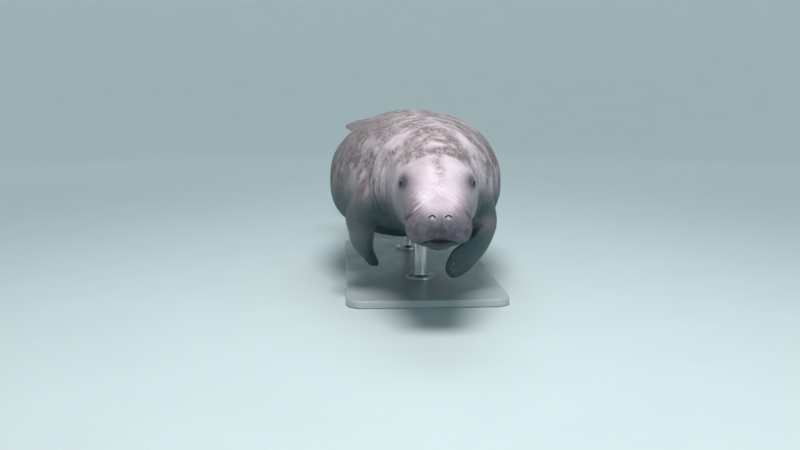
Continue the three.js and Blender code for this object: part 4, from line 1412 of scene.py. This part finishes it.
# Bristles and hairs: solid tapered stems, each mapped at its root's place on the unrolled skin
MAP_EDGE = 0.01
MAP_TRUNK = (0.74, 0.98)
MAP_LIMBS = (0.78, 0.2, 0.48, 0.5)  # start, width, height, and from one flipper to the other
MAP_STEM = 0.003
STEM_SUNK = 0.12  # share of a stem's length that is under the skin
STEM_TAPER = 0.8
TINY = 1e-9


def unrolled(p):
    """Places on the unrolled skin: the trunk on the map's left, the flippers on its right."""
    y = np.maximum(p[:, 1], AXIS_START)
    centre, back, side, up = section_frames(y)
    out = p - centre
    angle = np.arctan2(np.einsum("ij,ij->i", out, up), np.einsum("ij,ij->i", out, side))
    lift = np.arccos(np.clip(-np.einsum("ij,ij->i", unit(out), back), -1, 1))
    s = np.where(p[:, 1] > AXIS_START, y - AXIS_START, CAP * (lift / (math.pi / 2) - 1))
    u = ((angle - SEAM) % (2 * math.pi)) / (2 * math.pi)
    v = (s + CAP) / (TAIL_TIP - AXIS_START + CAP)
    width, height = MAP_TRUNK
    place = np.stack([MAP_EDGE + width * u, MAP_EDGE + height * np.clip(v, 0, 1)], -1)
    which, along, off_line = limb_places(p)
    start, width, height, step = MAP_LIMBS
    for i in np.nonzero((off_line < 110) & (along > 0.2))[0]:
        limb = list(FLIPPERS.values())[which[i]]
        c, _, chord, face, _, _ = limb_frame(limb, min(along[i], FLIPPER_END))
        d = p[i] - c
        turn = (math.atan2(d @ face, d @ chord) % (2 * math.pi)) / (2 * math.pi)
        place[i] = (start + width * turn, MAP_EDGE + height * along[i] + step * which[i])
    return place


def scatter(density, count, spacing, seed):
    """Seeded random places on the skin, more where the density is higher, none too close."""
    dice = np.random.default_rng(seed)
    a, b, c = (points[triangles[:, k]] for k in range(3))
    area = np.linalg.norm(np.cross(b - a, c - a), axis=1)
    weight = area * (density + TINY)[triangles].mean(1)
    pick = dice.choice(len(triangles), size=count, p=weight / weight.sum())
    r1, r2 = np.sqrt(dice.random(count)), dice.random(count)
    w = np.stack([1 - r1, r1 * (1 - r2), r1 * r2], -1)
    roots = np.einsum("ik,ikj->ij", w, points[triangles[pick]])
    out = unit(np.cross(b - a, c - a)[pick])
    taken, keep = set(), []
    for i, cell in enumerate(map(tuple, np.floor(roots / spacing).astype(int))):
        if cell not in taken:
            taken.add(cell)
            keep.append(i)
    return roots[keep], out[keep], dice


def stems(name, roots, ways, bends, lengths, radii, sides, rings):
    """One mesh of many bent, tapered stems, with a map patch for each."""
    count = len(roots)
    across = unit(np.cross(ways, ways[:, [1, 2, 0]] + 0.31))
    up = np.cross(across, ways)
    t = np.arange(rings) / rings
    centre = roots[:, None] + ways[:, None] * (lengths[:, None] * (t - STEM_SUNK))[..., None]
    centre = centre + bends[:, None] * (lengths[:, None] * t**2)[..., None]
    turn = 2 * math.pi * np.arange(sides) / sides
    circle = across[:, None] * np.cos(turn)[:, None] + up[:, None] * np.sin(turn)[:, None]
    radius = radii[:, None] * (1 - t) ** STEM_TAPER
    ring_points = centre[:, :, None] + circle[:, None] * radius[:, :, None, None]
    tip = roots + ways * lengths[:, None] + bends * lengths[:, None]
    block = np.concatenate([ring_points.reshape(count, -1, 3), tip[:, None]], 1)
    size = block.shape[1]
    last = (rings - 1) * sides
    faces = []
    for a, b, c, d in tube_faces(rings, sides):
        faces += [(a, b, c), (a, c, d)]
    faces += [(last + i, last + (i + 1) % sides, size - 1) for i in range(sides)]
    faces += [(0, i + 1, i) for i in range(1, sides - 1)]
    every = (np.array(faces)[None] + size * np.arange(count)[:, None, None]).reshape(-1, 3)
    piece = mesh_object(name, to_frame(block.reshape(-1, 3)), every.tolist())
    patch = [(i / sides - 0.5, r / rings - 0.5) for r in range(rings) for i in range(sides)]
    patch = np.array(patch + [(0, 0.5)]) * MAP_STEM
    where = (unrolled(roots)[:, None] + patch[None]).reshape(-1, 2)
    layer = piece.data.uv_layers.new(name="OFBake")
    loops = read(piece.data.loops, "vertex_index", np.int32, 1).ravel()
    layer.data.foreach_set("uv", where[loops].astype(np.float32).ravel())
    return piece


def hair_material(name, root, tip, rough=0.45):
    n = Nodes(name)
    tone = n.noise(n.place(), 70, 2)
    return n.finish({
        "Base Color": n.blend(n.ramp(tone, 0.3, 0.7), root, tip),
        "Roughness": n.ramp(tone, 0, 1, rough, rough + 0.15),
    })


def drawn_bends(dice, way, count, spread):
    """Random bends: a share of the way given, and a little to any side."""
    return np.array(way) * dice.random((count, 1)) + spread * dice.normal(size=(count, 3))


BRISTLES = (1200, 6.2, 5)  # how many are tried, spacing, seed
HAIRS = (2600, 34, 9)
q_now = in_head(points)
lip_pads = falling(q_now[:, 1], -78, -48) * falling(q_now[:, 2], -120, -104)
lip_pads *= 1 - 0.9 * bell(mouth_distance(q_now), 7) * lips_run(q_now)
roots, out, dice = scatter(lip_pads, *BRISTLES)
count = len(roots)
out = unit(out + 0.22 * dice.normal(size=out.shape) + np.array([0, -0.1, -0.25]))
size = 5 + 6.5 * dice.random(count) ** 2
bend = drawn_bends(dice, (0, 0.12, -0.3), count, 0.08)
bristles = stems("muzzle_bristles", roots, out, bend, size, 0.24 + 0.14 * dice.random(count), 6, 4)
bristles.data.materials.append(hair_material("bristle", (0.1, 0.09, 0.09), (0.22, 0.2, 0.195)))

bare_skin = np.where(on_limb, 0.25, 0.25 + 0.75 * smoothstep(height, -0.6, 0.6))
roots, out, dice = scatter(bare_skin * smoothstep(q[:, 1], -40, 60), *HAIRS)
count = len(roots)
lie = unit(out * 0.75 + np.array([0, 0.75, -0.12]) + 0.2 * dice.normal(size=out.shape))
size = 6 + 7 * dice.random(count)
bend = drawn_bends(dice, (0, 0.3, -0.1), count, 0.1)
hairs = stems("body_hairs", roots, lie, bend, size, np.full(count, 0.16), 4, 4)
hairs.data.materials.append(hair_material("hair", (0.3, 0.27, 0.24), (0.5, 0.46, 0.42)))
for piece in (bristles, hairs):
    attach(piece, "root")

# The stand, in metres: the board keeps its shape, and each rod gets a post with a bolted foot
POST_ROD = 0.024
POST_FOOT = (0.060, 0.012)  # radius, thickness
POST_CHAMFER = 0.0008
POST_ROUND = 0.003
POST_FILLET = 0.007
POST_SHOULDER = 0.05
POST_INTO_BODY = 0.012
POST_CAP = 0.03
POST_SIDES = 72
SCREW_CIRCLE = 0.045
SCREW_SUNK = 0.0005
SCREW_SIDES = 24
# Radius and height
SCREW = [(0.0, 0), (0.0062, 0), (0.0062, 0.0015), (0.0055, 0.0029), (0.0042, 0.0036),
         (0.0026, 0.0039), (0.0025, 0.0018), (0.0, 0.0018)]
SOCKET_RING = 5  # from this ring of the screw on, its socket has six sides
SHARP = 0.6


def quarter(steps):
    """The sine and cosine of each step round a quarter circle."""
    turns = [math.pi / 2 * k / steps for k in range(steps + 1)]
    return [(math.sin(a), math.cos(a)) for a in turns]


def lathe(profile, sides, x=0.0, y=0.0, z=0.0, six_sided=math.inf):
    """A profile turned about an upright axis, six-sided from the ring given."""
    made = []
    for k, (r, rise) in enumerate(profile):
        for i in range(sides):
            a = 2 * math.pi * i / sides
            r_here = r / math.cos(a % (math.pi / 3) - math.pi / 6) if k >= six_sided else r
            made.append((x + r_here * math.cos(a), y + r_here * math.sin(a), z + rise))
    return made


def post_piece(name):
    low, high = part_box("stand_rod_" + name)
    x, y = (low.x + high.x) / 2, (low.y + high.y) / 2
    top = high.z + POST_INTO_BODY
    foot, thick = POST_FOOT
    on_foot = low.z + thick
    profile = [(0.0, low.z), (foot - POST_CHAMFER, low.z), (foot, low.z + POST_CHAMFER)]
    for s, c in quarter(6):
        profile.append((foot - POST_ROUND * (1 - c), on_foot - POST_ROUND * (1 - s)))
    for s, c in quarter(8):
        profile.append((POST_ROD + POST_FILLET * (1 - s), on_foot + POST_FILLET * (1 - c)))
    profile += [(POST_ROD, z) for z in (low.z + POST_SHOULDER, top - POST_CAP, top)] + [(0.0, top)]
    made = lathe(profile, POST_SIDES, x, y)
    faces = tube_faces(len(profile), POST_SIDES)
    # Four button-head screws with six-sided sockets
    for j in range(4):
        turn = math.pi / 4 + j * math.pi / 2
        cx, cy = x + SCREW_CIRCLE * math.cos(turn), y + SCREW_CIRCLE * math.sin(turn)
        faces += tube_faces(len(SCREW), SCREW_SIDES, len(made))
        made += lathe(SCREW, SCREW_SIDES, cx, cy, on_foot - SCREW_SUNK, SOCKET_RING)
    piece = mesh_object("post_" + name, made, faces)
    cleaned(piece, 1e-7, SHARP)
    return piece


def steel_material():
    n = Nodes("brushed_steel")
    brushed = n.noise(n.place((1, 1, 0.06)), 900, 4, 0.7)
    return n.finish({
        "Base Color": n.blend(brushed, (0.46, 0.47, 0.48), (0.6, 0.61, 0.62)),
        "Roughness": n.ramp(brushed, 0.2, 0.8, 0.24, 0.4),
        "Metallic": 1.0,
        "Normal": n.bump(brushed, 0.0002, 0.3),
    })


def board_material():
    n = Nodes("painted_board")
    where = n.place()
    orange_peel = n.noise(where, 240, 3)
    wear = n.noise(where, 11, 5, 0.65)
    return n.finish({
        "Base Color": n.blend(wear, (0.36, 0.4, 0.405), (0.44, 0.48, 0.485)),
        "Roughness": n.ramp(wear, 0.25, 0.8, 0.3, 0.5),
        "Normal": n.bump(orange_peel, 0.0004, 0.25),
        "Coat Weight": 0.25,
        "Coat Roughness": 0.25,
    })


steel = steel_material()
for name in ("front", "rear"):
    piece = post_piece(name)
    piece.data.materials.append(steel)
    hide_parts("stand_rod_" + name)
    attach(piece, "root")
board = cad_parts["stand_base"]
board.data.materials.clear()
board.data.materials.append(board_material())
for polygon in board.data.polygons:
    polygon.material_index = 0

# Floor, light and camera, in metres
FLOOR_FLAT = (2.0, 4.0, 7.5)
FLOOR_ROUND = 3.5  # where the floor turns up to the wall
FLOOR_WALL = 5.5
FLOOR_SIDES = 96
FLOOR_UNDER = 0.0005


def floor_piece():
    flat = FLOOR_FLAT[-1]
    profile = [(0.0, 0.0)] + [(r, 0.0) for r in FLOOR_FLAT]
    profile += [(flat + FLOOR_ROUND * s, FLOOR_ROUND * (1 - c)) for s, c in quarter(12)[1:]]
    profile.append((flat + FLOOR_ROUND, FLOOR_WALL))
    made = lathe(profile, FLOOR_SIDES, z=-FLOOR_UNDER)
    piece = mesh_object("floor", made, tube_faces(len(profile), FLOOR_SIDES))
    cleaned(piece, 1e-6)
    n = Nodes("floor")
    outwards = n.make("VectorMath", {0: n.place()}, operation="LENGTH")
    piece.data.materials.append(n.finish({
        "Base Color": n.blend(n.noise(n.place(), 3, 3), (0.50, 0.57, 0.58), (0.54, 0.61, 0.62)),
        "Roughness": 0.9,
        # The floor and wall glow faintly, more towards the wall: painted light on the backdrop
        "Emission Color": (0.55, 0.66, 0.68, 1),
        "Emission Strength": n.ramp(outwards.outputs["Value"], 1.5, 6.5, 0.03, 0.34),
    }))


floor_piece()

# Each disk lamp's place, what it points at, size, energy and colour
LAMPS = {
    "key": ((-0.1, -2.7, 4.0), (0.0, -0.8, 0.5), 1.7, 178, (1.0, 0.985, 0.975)),
    "back": ((0.3, 2.2, 4.2), (0.0, 0.5, 0.5), 2.6, 75, (0.86, 0.95, 1.0)),
    "front": ((2.3, -4.3, 1.0), (0.0, -0.9, 0.4), 2.4, 26, (0.66, 0.95, 1.0)),
}
for name, (place, target, size, energy, colour) in LAMPS.items():
    lamp = bpy.data.lights.new(name, "AREA")
    lamp.shape = "DISK"
    lamp.size, lamp.energy, lamp.color = size, energy, colour
    made = placed(name, lamp)
    made.location = place
    made.rotation_euler = (Vector(target) - Vector(place)).to_track_quat("-Z", "Y").to_euler()
world = bpy.data.worlds.new("studio")
world.use_nodes = True
world.node_tree.nodes["Background"].inputs["Color"].default_value = (0.55, 0.82, 0.9, 1)
world.node_tree.nodes["Background"].inputs["Strength"].default_value = 0.22
bpy.context.scene.world = world

# The camera stands three metres off, to the animal's right and a little above its eyes.
CAMERA_DISTANCE = 3000
CAMERA_RISE = math.radians(6)
CAMERA_ASIDE = math.radians(6)
CAMERA_TILT = math.radians(8.63)
CAMERA_YAW = math.radians(3.62)
FOCAL_PIXELS, PICTURE_WIDTH, SENSOR = 906, 800, 36
away = np.array([
    -math.sin(CAMERA_ASIDE) * math.cos(CAMERA_RISE),
    -math.cos(CAMERA_ASIDE) * math.cos(CAMERA_RISE),
    math.sin(CAMERA_RISE),
])
camera = placed("camera", bpy.data.cameras.new("camera"))
camera.data.sensor_width = SENSOR
camera.data.lens = FOCAL_PIXELS * SENSOR / PICTURE_WIDTH
camera.location = to_frame(HEAD_ORIGIN + away * CAMERA_DISTANCE)
camera.rotation_euler = (math.pi / 2 - CAMERA_TILT, 0, -CAMERA_YAW)
bpy.context.scene.camera = camera
bpy.context.scene.view_settings.view_transform = "Standard"
